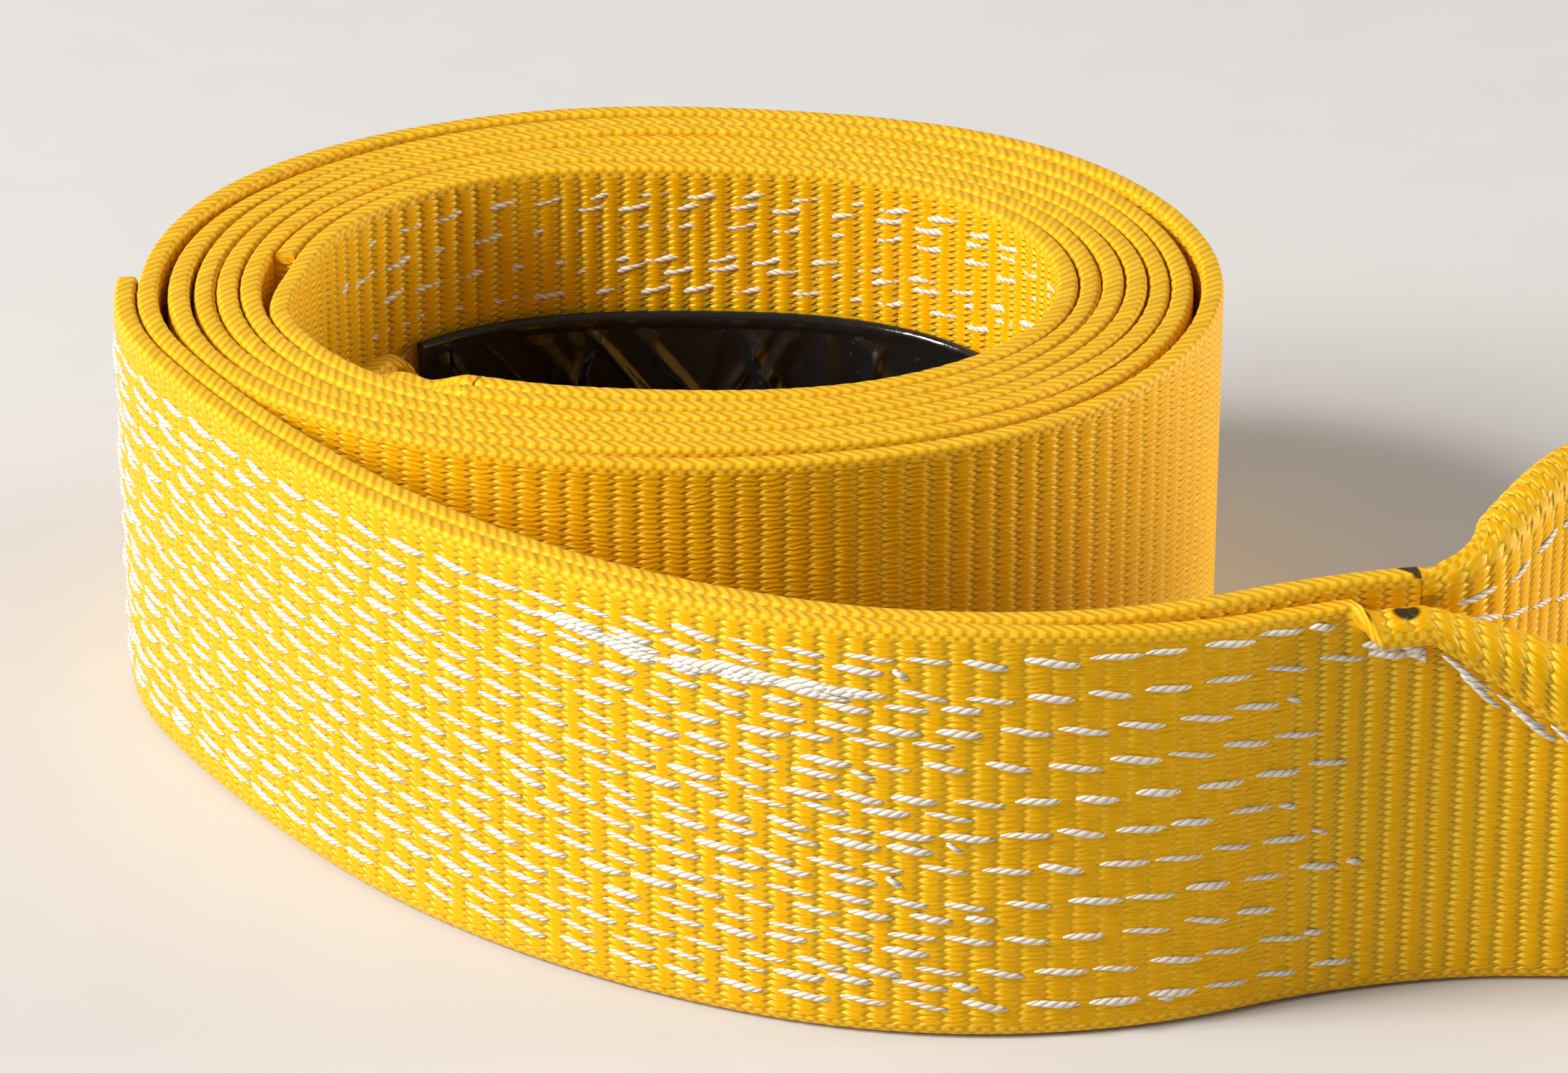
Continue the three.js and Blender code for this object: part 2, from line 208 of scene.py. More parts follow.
def splice_route():
    """The line between the two plies of the outer splice, from the roll to the throat."""
    radius = float(np.linalg.norm(ROLL_END))
    start = ROLL_END + facing(ROLL_END_HEADING - math.pi / 2) * PLY_PITCH / 2
    stretches = [(JOINT_GAP, 0)] + [(share * radius, turn) for share, turn in OUTER_SPLICE_STRETCHES]
    points, heading = walk(start, ROLL_END_HEADING, stretches)
    return Route(points), heading


SPLICE, THROAT_HEADING = splice_route()
THROAT = SPLICE.points[-1]


def cross(a, b):
    return a[0] * b[1] - a[1] * b[0]


def outer_eye_route():
    """The outer eye's web from the near leg's throat round the crown to the far leg's throat."""
    ahead, left = facing(THROAT_HEADING), facing(THROAT_HEADING + math.pi / 2)
    near_start = THROAT + ahead * JOINT_GAP - left * PLY_PITCH / 2
    far_start = near_start + left * PLY_PITCH
    near_heading = THROAT_HEADING - math.radians(NEAR_LEG_BEND)
    far_heading = THROAT_HEADING + math.radians(FAR_LEG_BEND)
    near_bend = (NEAR_LEG_BEND_RADIUS * math.radians(NEAR_LEG_BEND), -NEAR_LEG_BEND)
    far_bend = (FAR_LEG_BEND_RADIUS * math.radians(FAR_LEG_BEND), FAR_LEG_BEND)
    near_end = walk(near_start, THROAT_HEADING, [near_bend])[0][-1]
    far_end = walk(far_start, THROAT_HEADING, [far_bend])[0][-1]
    crown_turn = math.pi + far_heading - near_heading

    def straights(radius):
        span = far_end - near_end + facing(far_heading - math.pi / 2) * radius
        span = span - facing(near_heading + math.pi / 2) * radius
        near, far = facing(near_heading), facing(far_heading)
        return cross(span, far) / cross(near, far), cross(span, near) / cross(near, far)

    def whole(radius):
        return near_bend[0] + sum(straights(radius)) + radius * crown_turn + far_bend[0]

    radius = (2 * EYE_LENGTH - whole(0)) / (whole(1) - whole(0))
    near, far = straights(radius)
    crown = (radius * crown_turn, math.degrees(crown_turn))
    gap, unbend = (JOINT_GAP, 0), (far_bend[0], -FAR_LEG_BEND)
    stretches = [gap, near_bend, (near, 0), crown, (far, 0), unbend, gap]
    return Route(walk(near_start - ahead * JOINT_GAP, THROAT_HEADING, stretches)[0])


def inner_eye_route():
    """The inner eye's web from the hollow-side leg round the crown to the wall-side leg."""
    per_mm = math.degrees(1 / ROLL_START_RADIUS)
    leg_room = 4 * PLY_GAP + THREAD_HEIGHT + WEB_THICKNESS + PLY_PITCH
    start_room = PLY_GAP + WEB_THICKNESS + PLY_GAP / 2
    turned = np.arange(0, INNER_EYE_WALL_ANGLE + 0.01, 0.3)
    clear = smooth(turned / (INNER_EYE_WALL_CLEAR_LENGTH * per_mm))
    angle = INNER_THROAT_ANGLE - turned
    face = roll_radius(angle + 360) - WEB_THICKNESS / 2
    wall = Route(polar(face - start_room - (leg_room - start_room) * clear, angle))
    turn_length = INNER_EYE_TURN_RADIUS * math.radians(INNER_EYE_TURN)
    straight = EYE_LENGTH - wall.length - turn_length - INNER_EYE_END_BEND_LENGTH - INNER_CROWN_RADIUS
    heading = math.atan2(*(wall.points[-1] - wall.points[-2])[::-1])
    stretches = [
        (turn_length, -INNER_EYE_TURN),
        (straight, 0),
        (INNER_EYE_END_BEND_LENGTH, INNER_EYE_END_BEND),
    ]
    points, heading = walk(wall.points[-1], heading, stretches)
    middle = Route(np.concatenate([wall.points, points[1:]]))
    from_end = middle.distance - middle.length + INNER_CROWN_LENGTH
    spread = PLY_PITCH / 2 + (INNER_CROWN_RADIUS - PLY_PITCH / 2) * smooth(from_end / INNER_CROWN_LENGTH)
    hollow, wall_leg = middle.moved(-spread).points, middle.moved(spread).points
    crown = walk(hollow[-1], heading, [(math.pi * INNER_CROWN_RADIUS, 180)])[0][1:-1]
    return Route(np.concatenate([hollow, crown, wall_leg[::-1]]))


OUTER_LOOP = outer_eye_route()
INNER_LOOP = inner_eye_route()


def to_frame(x, y, z):
    """Metres in the frame from millimetres about the middle of the roll."""
    return np.stack([(x + ROLL_CENTRE[0]) / 1000, (y + ROLL_CENTRE[1]) / 1000, z / 1000], -1)


def beside(point, left, to_right, z):
    """Points in the frame at distances to the right of a route's points."""
    return to_frame(point[..., 0] - left[..., 0] * to_right, point[..., 1] - left[..., 1] * to_right, z)


# ================= meshes =================
def new_piece(name, points, quads, uv, material, sharp=60.0):
    """A mesh object from points, faces with the same number of corners and a UV pair for each point."""
    mesh = bpy.data.meshes.new(name)
    quads = np.asarray(quads, np.int32)
    corners = quads.shape[1]
    mesh.vertices.add(len(points))
    mesh.vertices.foreach_set("co", np.asarray(points, np.float32).ravel())
    mesh.loops.add(quads.size)
    mesh.loops.foreach_set("vertex_index", quads.ravel())
    mesh.polygons.add(len(quads))
    mesh.polygons.foreach_set("loop_start", np.arange(0, quads.size, corners, dtype=np.int32))
    mesh.polygons.foreach_set("use_smooth", np.ones(len(quads), bool))
    layer = mesh.uv_layers.new(name="Cloth")
    layer.data.foreach_set("uv", np.asarray(uv, np.float32)[quads.ravel()].ravel())
    mesh.update(calc_edges=True)
    mesh.validate()
    mesh.set_sharp_from_angle(angle=math.radians(sharp))
    mesh.materials.append(material)
    piece = bpy.data.objects.new(name, mesh)
    bpy.context.scene.collection.objects.link(piece)
    return piece


def sheet_faces(stations, columns):
    """Quads of a closed sheet: front points first, then back points, station by station."""
    index = np.arange(stations * columns).reshape(stations, columns)
    a, b, c, d = index[:-1, :-1], index[1:, :-1], index[1:, 1:], index[:-1, 1:]
    front = np.stack([a, b, c, d], -1).reshape(-1, 4)
    back = front[:, ::-1] + stations * columns
    rim = np.concatenate([index[0, :], index[1:, -1], index[-1, -2::-1], index[-2:0:-1, 0]])
    after = np.roll(rim, -1)
    wall = np.stack([rim, after, after + stations * columns, rim + stations * columns], -1)
    return np.concatenate([front, back, wall])


def sheet_piece(name, front, back, uv, back_uv, material):
    """A closed sheet between two grids of points (stations, columns, 3)."""
    stations, columns = front.shape[:2]
    points = np.concatenate([front.reshape(-1, 3), back.reshape(-1, 3)])
    faces = sheet_faces(stations, columns)
    side = np.cross(front[1, 0] - front[0, 0], front[0, 1] - front[0, 0])
    if side @ (front[0, 0] - back[0, 0]) < 0:
        faces = faces[:, ::-1]
    both = np.concatenate([uv.reshape(-1, 2), back_uv.reshape(-1, 2)])
    return new_piece(name, points, faces, both, material)


def columns_across(spacing):
    """Distances across the web at which it is modelled, closer together at its edges."""
    edge = np.array([0.0, 0.1, 0.3, 0.6])
    count = max(2, round((WEB_WIDTH - 2 * SELVEDGE) / spacing))
    middle = np.linspace(SELVEDGE, WEB_WIDTH - SELVEDGE, count + 1)
    return np.concatenate([edge, middle, WEB_WIDTH - edge[::-1]])


def triangle_wave(t):
    """0 at whole numbers and 1 half way between them."""
    return 1 - np.abs(2 * (t - np.floor(t)) - 1)


def web_piece(name, route, span, settings, material, spacing=4.0, per_rib=4.0, lift=None, fold=None,
              first=0.0, stretch=1.0, ragged=0.0, pressed=None, sag=None, hollow=1.0,
              radius=FOLD_RADIUS):
    """A ply of ribbed webbing standing along a route, from one distance of its span to the other.

    It has per_rib stations for each rib and a column every spacing across. lift(distance) raises it,
    fold(distance) gives how much of its width is turned over and by what angle, with that radius,
    pressed(distance) how flat sewing has pulled its ribs, and sag(distance) how far its upper edge drops.
    ragged is how far that edge wanders up and down, and hollow how much more the ribs stand out on the
    face towards the inside of the roll. first and stretch set the cloth distance along it.
    """
    start, stop = span
    pitch = settings.rib_pitch * 1000
    yarn = settings.yarn_pitch * 1000
    s = np.linspace(start, stop, max(3, round((stop - start) / pitch * per_rib)))
    v = columns_across(spacing)
    point, left = route.at(s)
    depth, curl = (k[:, None] for k in (fold(s) if fold else (0 * s, 0 * s)))
    base = (lift(s) if lift else np.zeros_like(s))[:, None]
    crease = WEB_WIDTH - depth - radius
    turned = np.clip((v[None] - crease) / radius, 0, curl)
    beyond = np.maximum(v[None] - crease - radius * curl, 0) * (curl > 1e-6)
    out = radius * (1 - np.cos(turned)) + beyond * np.sin(curl)
    folded = np.minimum(v[None], crease) + radius * np.sin(turned) + beyond * np.cos(curl)
    up = np.where(curl > 1e-6, folded, v[None])
    if sag:
        up = up - sag(s)[:, None] * smooth((v[None] - 15) / 35)
    if ragged:
        top = smooth((v[None] - 4) / 40)
        up = up + top * ragged * (np.sin(s / 23)[:, None] + 0.6 * np.sin(s / 9.1 + 1)[:, None])
    along = first + (s - start) * stretch
    edge = np.clip(np.minimum(v, WEB_WIDTH - v) / SELVEDGE, 0, 1)
    half = (WEB_THICKNESS / 2 + SWELL) * (0.55 + 0.45 * np.sqrt(1 - (1 - edge) ** 2))
    inside = 0.35 + 0.65 * smooth(np.minimum(v, WEB_WIDTH - v) / 3)
    flat = pressed(s) if pressed else np.zeros_like(s)
    zigzag = settings.zigzag * (triangle_wave(v / yarn) if spacing < yarn else 0.5)
    phase = along[:, None] / pitch + zigzag
    relief = settings.rib_depth * 1000
    grids = []
    for side, shift in ((1, 0.0), (-1, 0.5)):
        f = phase + shift
        f = f - np.floor(f)
        crown = smooth(f / 0.3) * smooth((1 - f) / 0.22)
        bump = relief * inside[None] * (crown - 0.75) * (1 - 0.75 * flat[:, None] if side > 0 else hollow)
        n = side * (half[None] + bump)
        across, rise = out + n * np.cos(turned), up - n * np.sin(turned)
        grids.append(beside(point[:, None], left[:, None], across, base + rise))
    uv = np.stack(np.broadcast_arrays(along[:, None] / 1000, v[None] / 1000), -1)
    other = uv + np.array([pitch / 2000, 0])
    piece = sheet_piece(name, grids[0], grids[1], uv, other, material)
    if pressed:
        layer = piece.data.attributes.new("pressed", "FLOAT", "POINT")
        value = np.repeat(flat, len(v))
        layer.data.foreach_set("value", np.concatenate([value, 0.2 * value]).astype(np.float32))
    return piece


DASH_STATIONS = 8  # rings along a length of thread
DASH_SIDES = 6


def dash_shape():
    """One visible length of thread: its share along, its place across and up, and its turn round, for each
    point of each of its rings."""
    t = np.linspace(0, 1, DASH_STATIONS + 2)
    ring = np.arange(DASH_SIDES) / DASH_SIDES * 2 * math.pi
    girth = np.sin(math.pi * t[1:-1]) ** 0.75
    rows = []
    for k, g in zip(t[1:-1], girth):
        rows.append([(k, 0.5 * g * math.cos(a), 0.5 * g * math.sin(a), a / (2 * math.pi)) for a in ring])
    return np.array(rows)


DASH = dash_shape()


def dash_faces():
    """Quads round a length of thread, and two at each of its ends."""
    faces = []
    for i in range(DASH_STATIONS - 1):
        for j in range(DASH_SIDES):
            a, b = i * DASH_SIDES + j, i * DASH_SIDES + (j + 1) % DASH_SIDES
            faces.append((a, b, b + DASH_SIDES, a + DASH_SIDES))
    for ring in (0, DASH_STATIONS - 1):
        first = ring * DASH_SIDES
        order = range(DASH_SIDES) if ring else range(DASH_SIDES - 1, -1, -1)
        corners = [first + k for k in order]
        faces += [tuple(corners[k] for k in half) for half in ((0, 1, 2, 3), (0, 3, 4, 5))]
    return np.array(faces)


DASH_FACES = dash_faces()


def thread_piece(name, dashes, place, settings, material):
    """Many dashes in one mesh: each has a start, length, height, slant and thickness.

    place(distance, height, distance off the face) gives their points in the frame.
    """
    points, uvs, faces = [], [], []
    width = settings.thread_width * 1000
    for start, length, height, slant, thick in dashes:
        t, across, up, turn = (DASH[..., k] for k in range(4))
        sink = (np.sin(math.pi * t) ** 0.5 - 0.62) * 0.55
        s = start + t * length
        bow = np.sin(2 * math.pi * t) * 0.16
        z = height + across * width * thick + slant * (t - 0.5) + bow
        n = up * width * thick * 0.8 + sink * thick
        points.append(place(s, z, n).reshape(-1, 3))
        uvs.append(np.stack([t * length / 1000, turn], -1).reshape(-1, 2))
        faces.append(DASH_FACES + len(faces) * DASH_STATIONS * DASH_SIDES)
    points, faces = np.concatenate(points), np.concatenate(faces)
    a, b, c = (points[faces[0][k]] for k in (0, 1, 2))
    centre = points[: DASH_STATIONS * DASH_SIDES].mean(0)
    if np.cross(b - a, c - a) @ (a - centre) < 0:
        faces = faces[:, ::-1]
    return new_piece(name, points, faces, np.concatenate(uvs), material, sharp=80.0)


def on_face(route, to_right):
    """Places thread on a ply's face: to_right is the face's distance from the route, signed by its side."""
    side = 1 if to_right > 0 else -1

    def place(s, z, n):
        return beside(*route.at(s), to_right + side * n, z)

    return place


def row_dashes(rng, start, stop, height, settings, thick=1.0, drift=0.0):
    """The dashes of one row of sewing between two distances."""
    dashes, s = [], start
    pitch = settings.stitch_pitch * 1000
    while s < stop - 2:
        length = pitch * rng.uniform(0.92, 1.2)
        z = height + rng.uniform(-0.22, 0.22) + drift * (s - start) / max(1, stop - start)
        dashes.append((s, min(length, stop - s), z, rng.uniform(-0.95, 0.3), thick * rng.uniform(0.7, 1.15)))
        s += pitch * rng.uniform(0.94, 1.08)
    return dashes


# ================= shader groups =================
class Tree:
    """Short ways to add and join shader nodes."""

    def __init__(self, tree):
        self.tree = tree

    def node(self, kind, settings=None, **inputs):
        made = self.tree.nodes.new(kind)
        for key, value in (settings or {}).items():
            setattr(made, key, value)
        for key, value in inputs.items():
            self.feed(made.inputs[key.replace("_", " ")], value)
        return made

    def feed(self, socket, value):
        if isinstance(value, bpy.types.NodeSocket):
            self.tree.links.new(value, socket)
        else:
            socket.default_value = value

    def math(self, operation, *values, clamp=False):
        made = self.tree.nodes.new("ShaderNodeMath")
        made.operation, made.use_clamp = operation, clamp
        for socket, value in zip(made.inputs, values):
            self.feed(socket, value)
        return made.outputs[0]

    def ramp(self, value, low, high, to_low=0.0, to_high=1.0):
        made = self.node("ShaderNodeMapRange", {"interpolation_type": "SMOOTHSTEP"})
        names = ("Value", "From Min", "From Max", "To Min", "To Max")
        for key, given in zip(names, (value, low, high, to_low, to_high)):
            self.feed(made.inputs[key], given)
        return made.outputs[0]

    def mix(self, factor, a, b, blend="MIX"):
        made = self.node("ShaderNodeMix", {"data_type": "RGBA", "blend_type": blend})
        self.feed(made.inputs[0], factor)
        self.feed(made.inputs[6], a)
        self.feed(made.inputs[7], b)
        return made.outputs[2]

    def noise(self, vector, scale, detail=2.0):
        made = self.node("ShaderNodeTexNoise", Vector=vector, Scale=scale, Detail=detail)
        return made.outputs[0]


def group_tree(name, inputs, outputs):
    """An empty shader group with float sockets, its helper, its inputs by name and its output node."""
    tree = bpy.data.node_groups.new(name, "ShaderNodeTree")
    for socket, value in inputs.items():
        kind = "NodeSocketVector" if value is None else "NodeSocketFloat"
        made = tree.interface.new_socket(socket, in_out="INPUT", socket_type=kind)
        if value is not None:
            made.default_value = value
    for socket in outputs:
        tree.interface.new_socket(socket, in_out="OUTPUT", socket_type="NodeSocketFloat")
    entry = tree.nodes.new("NodeGroupInput")
    return Tree(tree), entry.outputs, tree.nodes.new("NodeGroupOutput")


def weave_group():
    """Ribbed weave: flat ribs whose pointed loops lock into each other, and a beaded selvedge."""
    name = "Ribbed weave"
    if name in bpy.data.node_groups:
        return bpy.data.node_groups[name]
    sockets = {"Cloth": None, "Rib Pitch": 0.0027, "Yarn Pitch": 0.00087, "Zigzag": 0.24, "Pressed": 0.0}
    t, given, out = group_tree(name, sockets, ["Height", "Loop Highlight", "Groove Shade", "Fibre"])
    place = t.node("ShaderNodeSeparateXYZ", Vector=given["Cloth"])
    u, v = place.outputs[0], place.outputs[1]
    stretched = t.node("ShaderNodeMapping", Vector=given["Cloth"], Scale=(420.0, 5200.0, 1.0)).outputs[0]
    strands = t.noise(stretched, 1.0, 3.0)
    uneven = t.noise(given["Cloth"], 300.0, 2.0)
    # a zigzag along each rib, with a tooth for each yarn
    yarns = t.math("ADD", t.math("DIVIDE", v, given["Yarn Pitch"]), t.math("MULTIPLY", uneven, 0.3))
    wave = t.math("MULTIPLY", t.math("PINGPONG", yarns, 0.5), 2.0)
    wander = t.math("MULTIPLY", t.math("SUBTRACT", uneven, 0.5), 0.3)
    lean = t.math("ADD", t.math("MULTIPLY", wave, given["Zigzag"]), wander)
    rib = t.math("FRACT", t.math("ADD", t.math("DIVIDE", u, given["Rib Pitch"]), lean))
    crown = t.math("MULTIPLY", t.ramp(rib, 0.0, 0.22), t.ramp(rib, 0.74, 1.0, 1.0, 0.0))
    # the loops' pointed tips, parted from each other at both edges of the rib
    lock = t.math("MAXIMUM", t.ramp(rib, 0.12, 0.4, 1.0, 0.0), t.ramp(rib, 0.66, 0.95))
    parted = t.math("MULTIPLY", t.ramp(wave, 0.0, 0.34, 1.0, 0.0), t.math("MULTIPLY_ADD", lock, 0.8, 0.12))
    # painted highlight on the loop tips, full at each rib's left edge and weaker at its right edge
    left_tip_highlight = t.math("MULTIPLY", t.ramp(rib, 0.03, 0.09), t.ramp(rib, 0.16, 0.46, 1.0, 0.0))
    right_tip_highlight = t.math("MULTIPLY", t.ramp(rib, 0.66, 0.84), t.ramp(rib, 0.9, 0.97, 1.0, 0.0))
    right_tip_highlight = t.math("MULTIPLY", right_tip_highlight, 0.45)
    tip_highlight = t.math("ADD", t.math("MULTIPLY", left_tip_highlight, t.ramp(wave, 0.2, 0.7)), right_tip_highlight)
    # painted shade in the gaps between the ribs and in the partings between the loops
    gap = t.math("MAXIMUM", t.ramp(rib, 0.9, 1.0), t.ramp(rib, 0.0, 0.06, 1.0, 0.0))
    groove_shade = t.math("MAXIMUM", t.math("MULTIPLY", gap, 0.6), t.math("MULTIPLY", parted, 0.4))
    # sewing flattens the ribs and leaves ripples along the yarns
    kept = t.math("SUBTRACT", 1.0, t.math("MULTIPLY", given["Pressed"], 0.8))
    ripple = t.math("SINE", t.math("MULTIPLY_ADD", v, 9800.0, t.math("MULTIPLY", uneven, 15.0)))
    ripple = t.math("MULTIPLY", t.math("MULTIPLY", ripple, 0.22), given["Pressed"])
    height = t.math("SUBTRACT", crown, t.math("MULTIPLY", parted, 0.2))
    height = t.math("ADD", t.math("MULTIPLY", height, kept), t.math("MULTIPLY_ADD", strands, 0.16, ripple))
    # the selvedge is rows of beads
    edge = t.math("MINIMUM", v, t.math("SUBTRACT", WEB_WIDTH / 1000, v))
    selvedge = t.ramp(edge, 0.0010, 0.0014, 1.0, 0.0)
    row = t.math("MULTIPLY", t.math("PINGPONG", edge, 0.0006), 1 / 0.0006)
    offset = t.math("MULTIPLY", t.math("FLOOR", t.math("DIVIDE", edge, 0.0006)), 0.5)
    bead = t.math("PINGPONG", t.math("ADD", t.math("DIVIDE", u, 0.00145), offset), 0.5)
    bead = t.math("MULTIPLY", t.ramp(bead, 0.02, 0.4), t.math("MULTIPLY_ADD", row, -0.3, 1.0))

    def at_edge(value, edge_value):
        mixed = t.node("ShaderNodeMix", {"data_type": "FLOAT"}, Factor=selvedge, A=value, B=edge_value)
        return mixed.outputs[0]

    edge_height = t.math("MULTIPLY_ADD", bead, 0.5, t.math("MULTIPLY", strands, 0.16))
    # painted shade between the selvedge's beads
    edge_groove_shade = t.math("MULTIPLY_ADD", bead, -0.4, 0.4)
    t.feed(out.inputs["Height"], at_edge(height, edge_height))
    # loop output: mask of the painted highlight on the loop tips and the bead tops
    t.feed(out.inputs["Loop Highlight"], at_edge(t.math("MULTIPLY", tip_highlight, kept), t.math("MULTIPLY", bead, 0.45)))
    # groove output: mask of the painted shade in the grooves, in the partings and between the beads
    t.feed(out.inputs["Groove Shade"], at_edge(t.math("MULTIPLY", groove_shade, kept), edge_groove_shade))
    t.feed(out.inputs["Fibre"], strands)
    return t.tree


WORN_COLOUR = (0.70, 0.31, 0.0, 1)  # patches on the web
INK_COLOUR = (0.012, 0.011, 0.012, 1)
DUST_COLOUR = (0.05, 0.052, 0.058, 1)  # specks on the tag


def opaque(colour):
    """A settings colour with full cover, as sockets take it."""
    return (*colour, 1)


def new_material(name):
    material = bpy.data.materials.new(name)
    material.use_nodes = True
    t = Tree(material.node_tree)
    shader = material.node_tree.nodes["Principled BSDF"]
    return material, t, shader


def webbing_material(settings):
    """Woven polyester: painted shade makes the grooves deep amber, and a painted highlight makes the loops
    bright where they turn over.
    """
    if "Webbing" in bpy.data.materials:
        return bpy.data.materials["Webbing"]
    material, t, shader = new_material("Webbing")
    cloth = t.node("ShaderNodeUVMap", {"uv_map": "Cloth"}).outputs[0]
    weave = t.node("ShaderNodeGroup")
    weave.node_tree = weave_group()
    t.feed(weave.inputs["Cloth"], cloth)
    t.feed(weave.inputs["Rib Pitch"], settings.rib_pitch)
    t.feed(weave.inputs["Yarn Pitch"], settings.yarn_pitch)
    t.feed(weave.inputs["Zigzag"], settings.zigzag)
    pressed = t.node("ShaderNodeAttribute", {"attribute_name": "pressed"}).outputs["Fac"]
    t.feed(weave.inputs["Pressed"], pressed)
    # painted shade: the groove colour darkens the grooves, the partings and the gaps between the beads
    body = t.mix(weave.outputs["Groove Shade"], opaque(settings.colour), opaque(settings.groove_shade_colour))
    # painted highlight: the loop colour brightens the loop tips and the bead tops
    body = t.mix(t.math("MULTIPLY", weave.outputs["Loop Highlight"], 0.9), body, opaque(settings.loop_highlight_colour))
    patches = t.ramp(t.noise(cloth, 38.0, 3.0), 0.35, 0.7)
    body = t.mix(t.math("MULTIPLY", patches, 0.12), body, WORN_COLOUR)
    fibre = t.ramp(weave.outputs["Fibre"], 0.3, 0.75, 0.86, 1.1)
    tint = t.node("ShaderNodeHueSaturation", Value=fibre, Color=body)
    ink = 0.0
    for centre, size, strength in INK_MARKS:
        shift = t.node("ShaderNodeVectorMath", {"operation": "SUBTRACT"})
        t.feed(shift.inputs[0], cloth)
        t.feed(shift.inputs[1], (centre[0] / 1000, centre[1] / 1000, 0.0))
        reach = t.node("ShaderNodeVectorMath", {"operation": "MULTIPLY"})
        t.feed(reach.inputs[0], shift.outputs[0])
        t.feed(reach.inputs[1], (1000 / size[0], 1000 / size[1], 0.0))
        far = t.node("ShaderNodeVectorMath", {"operation": "LENGTH"})
        t.feed(far.inputs[0], reach.outputs[0])
        ink = t.math("MAXIMUM", ink, t.ramp(far.outputs["Value"], 0.7, 1.1, strength, 0.0))
    marked = t.mix(ink, tint.outputs[0], INK_COLOUR)
    t.feed(shader.inputs["Base Color"], marked)
    rough = t.math("SUBTRACT", 0.46, t.math("MULTIPLY", weave.outputs["Loop Highlight"], 0.1))
    t.feed(shader.inputs["Roughness"], rough)
    shader.inputs["Specular IOR Level"].default_value = 0.36
    shader.inputs["Specular Tint"].default_value = (1.0, 0.76, 0.16, 1)
    bump = t.node("ShaderNodeBump", Strength=0.9, Distance=0.00023, Height=weave.outputs["Height"])
    t.feed(shader.inputs["Normal"], bump.outputs[0])
    return material


def thread_material(settings):
    """Off-white twisted thread: its strands run round it as slanting ridges, with painted shade between them.
    """
    if "Thread" in bpy.data.materials:
        return bpy.data.materials["Thread"]
    material, t, shader = new_material("Thread")
    cloth = t.node("ShaderNodeUVMap", {"uv_map": "Cloth"}).outputs[0]
    place = t.node("ShaderNodeSeparateXYZ", Vector=cloth)
    twist = t.math("MULTIPLY", place.outputs[0], 1 / 0.0034)
    strand = t.math("FRACT", t.math("MULTIPLY", t.math("ADD", twist, place.outputs[1]), 3.0))
    ridge = t.math("SINE", t.math("MULTIPLY", strand, math.pi))
    fine = t.noise(t.node("ShaderNodeMapping", Vector=cloth, Scale=(2500.0, 22.0, 1.0)).outputs[0], 1.0, 2.0)
    # painted shade between the strands: the twist colour fills the valleys between the ridges
    colour = t.mix(t.ramp(ridge, 0.0, 0.6), opaque(settings.groove_shade_colour), opaque(settings.colour))
    t.feed(shader.inputs["Base Color"], colour)
    shader.inputs["Roughness"].default_value = 0.5
    shader.inputs["Sheen Weight"].default_value = 0.15
    height = t.math("ADD", ridge, t.math("MULTIPLY", fine, 0.3))
    bump = t.node("ShaderNodeBump", Strength=0.8, Distance=0.00015, Height=height)
    t.feed(shader.inputs["Normal"], bump.outputs[0])
    return material


def vinyl_material(settings):
    """Glossy black vinyl with fine creases."""
    if "Vinyl" in bpy.data.materials:
        return bpy.data.materials["Vinyl"]
    material, t, shader = new_material("Vinyl")
    place = t.node("ShaderNodeTexCoord").outputs["Object"]
    fine = t.noise(place, 420.0, 3.0)
    broad = t.noise(place, 120.0, 2.0)
    dust = t.ramp(t.noise(place, 900.0, 2.0), 0.62, 0.8)
    colour = t.mix(t.math("MULTIPLY", dust, 0.5), opaque(settings.colour), DUST_COLOUR)
    t.feed(shader.inputs["Base Color"], colour)
    rough = t.ramp(fine, 0.3, 0.8, settings.roughness * 0.8, settings.roughness * 1.5)
    t.feed(shader.inputs["Roughness"], rough)
    shader.inputs["Specular IOR Level"].default_value = 0.6
    height = t.math("ADD", t.math("MULTIPLY", fine, 0.3), broad)
    bump = t.node("ShaderNodeBump", Strength=0.5, Distance=0.0008, Height=height)
    t.feed(shader.inputs["Normal"], bump.outputs[0])
    return material


# ================= settings =================
def colour_property(name, description, default):
    return bpy.props.FloatVectorProperty(
        name=name, description=description, subtype="COLOR", size=3, min=0, max=1, default=default
    )


def length_property(name, description, default):
    return bpy.props.FloatProperty(
        name=name, description=description, default=default, min=0, unit="LENGTH", precision=5
    )


class WebbingSettings(bpy.types.PropertyGroup):
    rib_pitch: length_property("Rib pitch", "Distance from one cross rib of the weave to the next", 0.0027)
    rib_depth: length_property("Rib depth", "How far the ribs stand above their grooves", 0.00022)
    yarn_pitch: length_property("Yarn pitch", "Distance from one lengthwise yarn to the next", 0.00087)
    zigzag: bpy.props.FloatProperty(
        name="Zigzag", description="How far the loops reach over the next rib, as a share of it",
        default=0.24, min=0, max=1,
    )
    colour: colour_property("Yarn colour", "Colour of the ribs", (0.85, 0.425, 0.0))
    # the groove colour is painted shade between the ribs
    groove_shade_colour: colour_property("Groove colour", "Colour between the ribs", (0.58, 0.23, 0.0))
    # the loop colour is a painted highlight on the loop tips
    loop_highlight_colour: colour_property("Loop colour", "Colour of the loops at each rib's edge", (1.0, 0.78, 0.09))


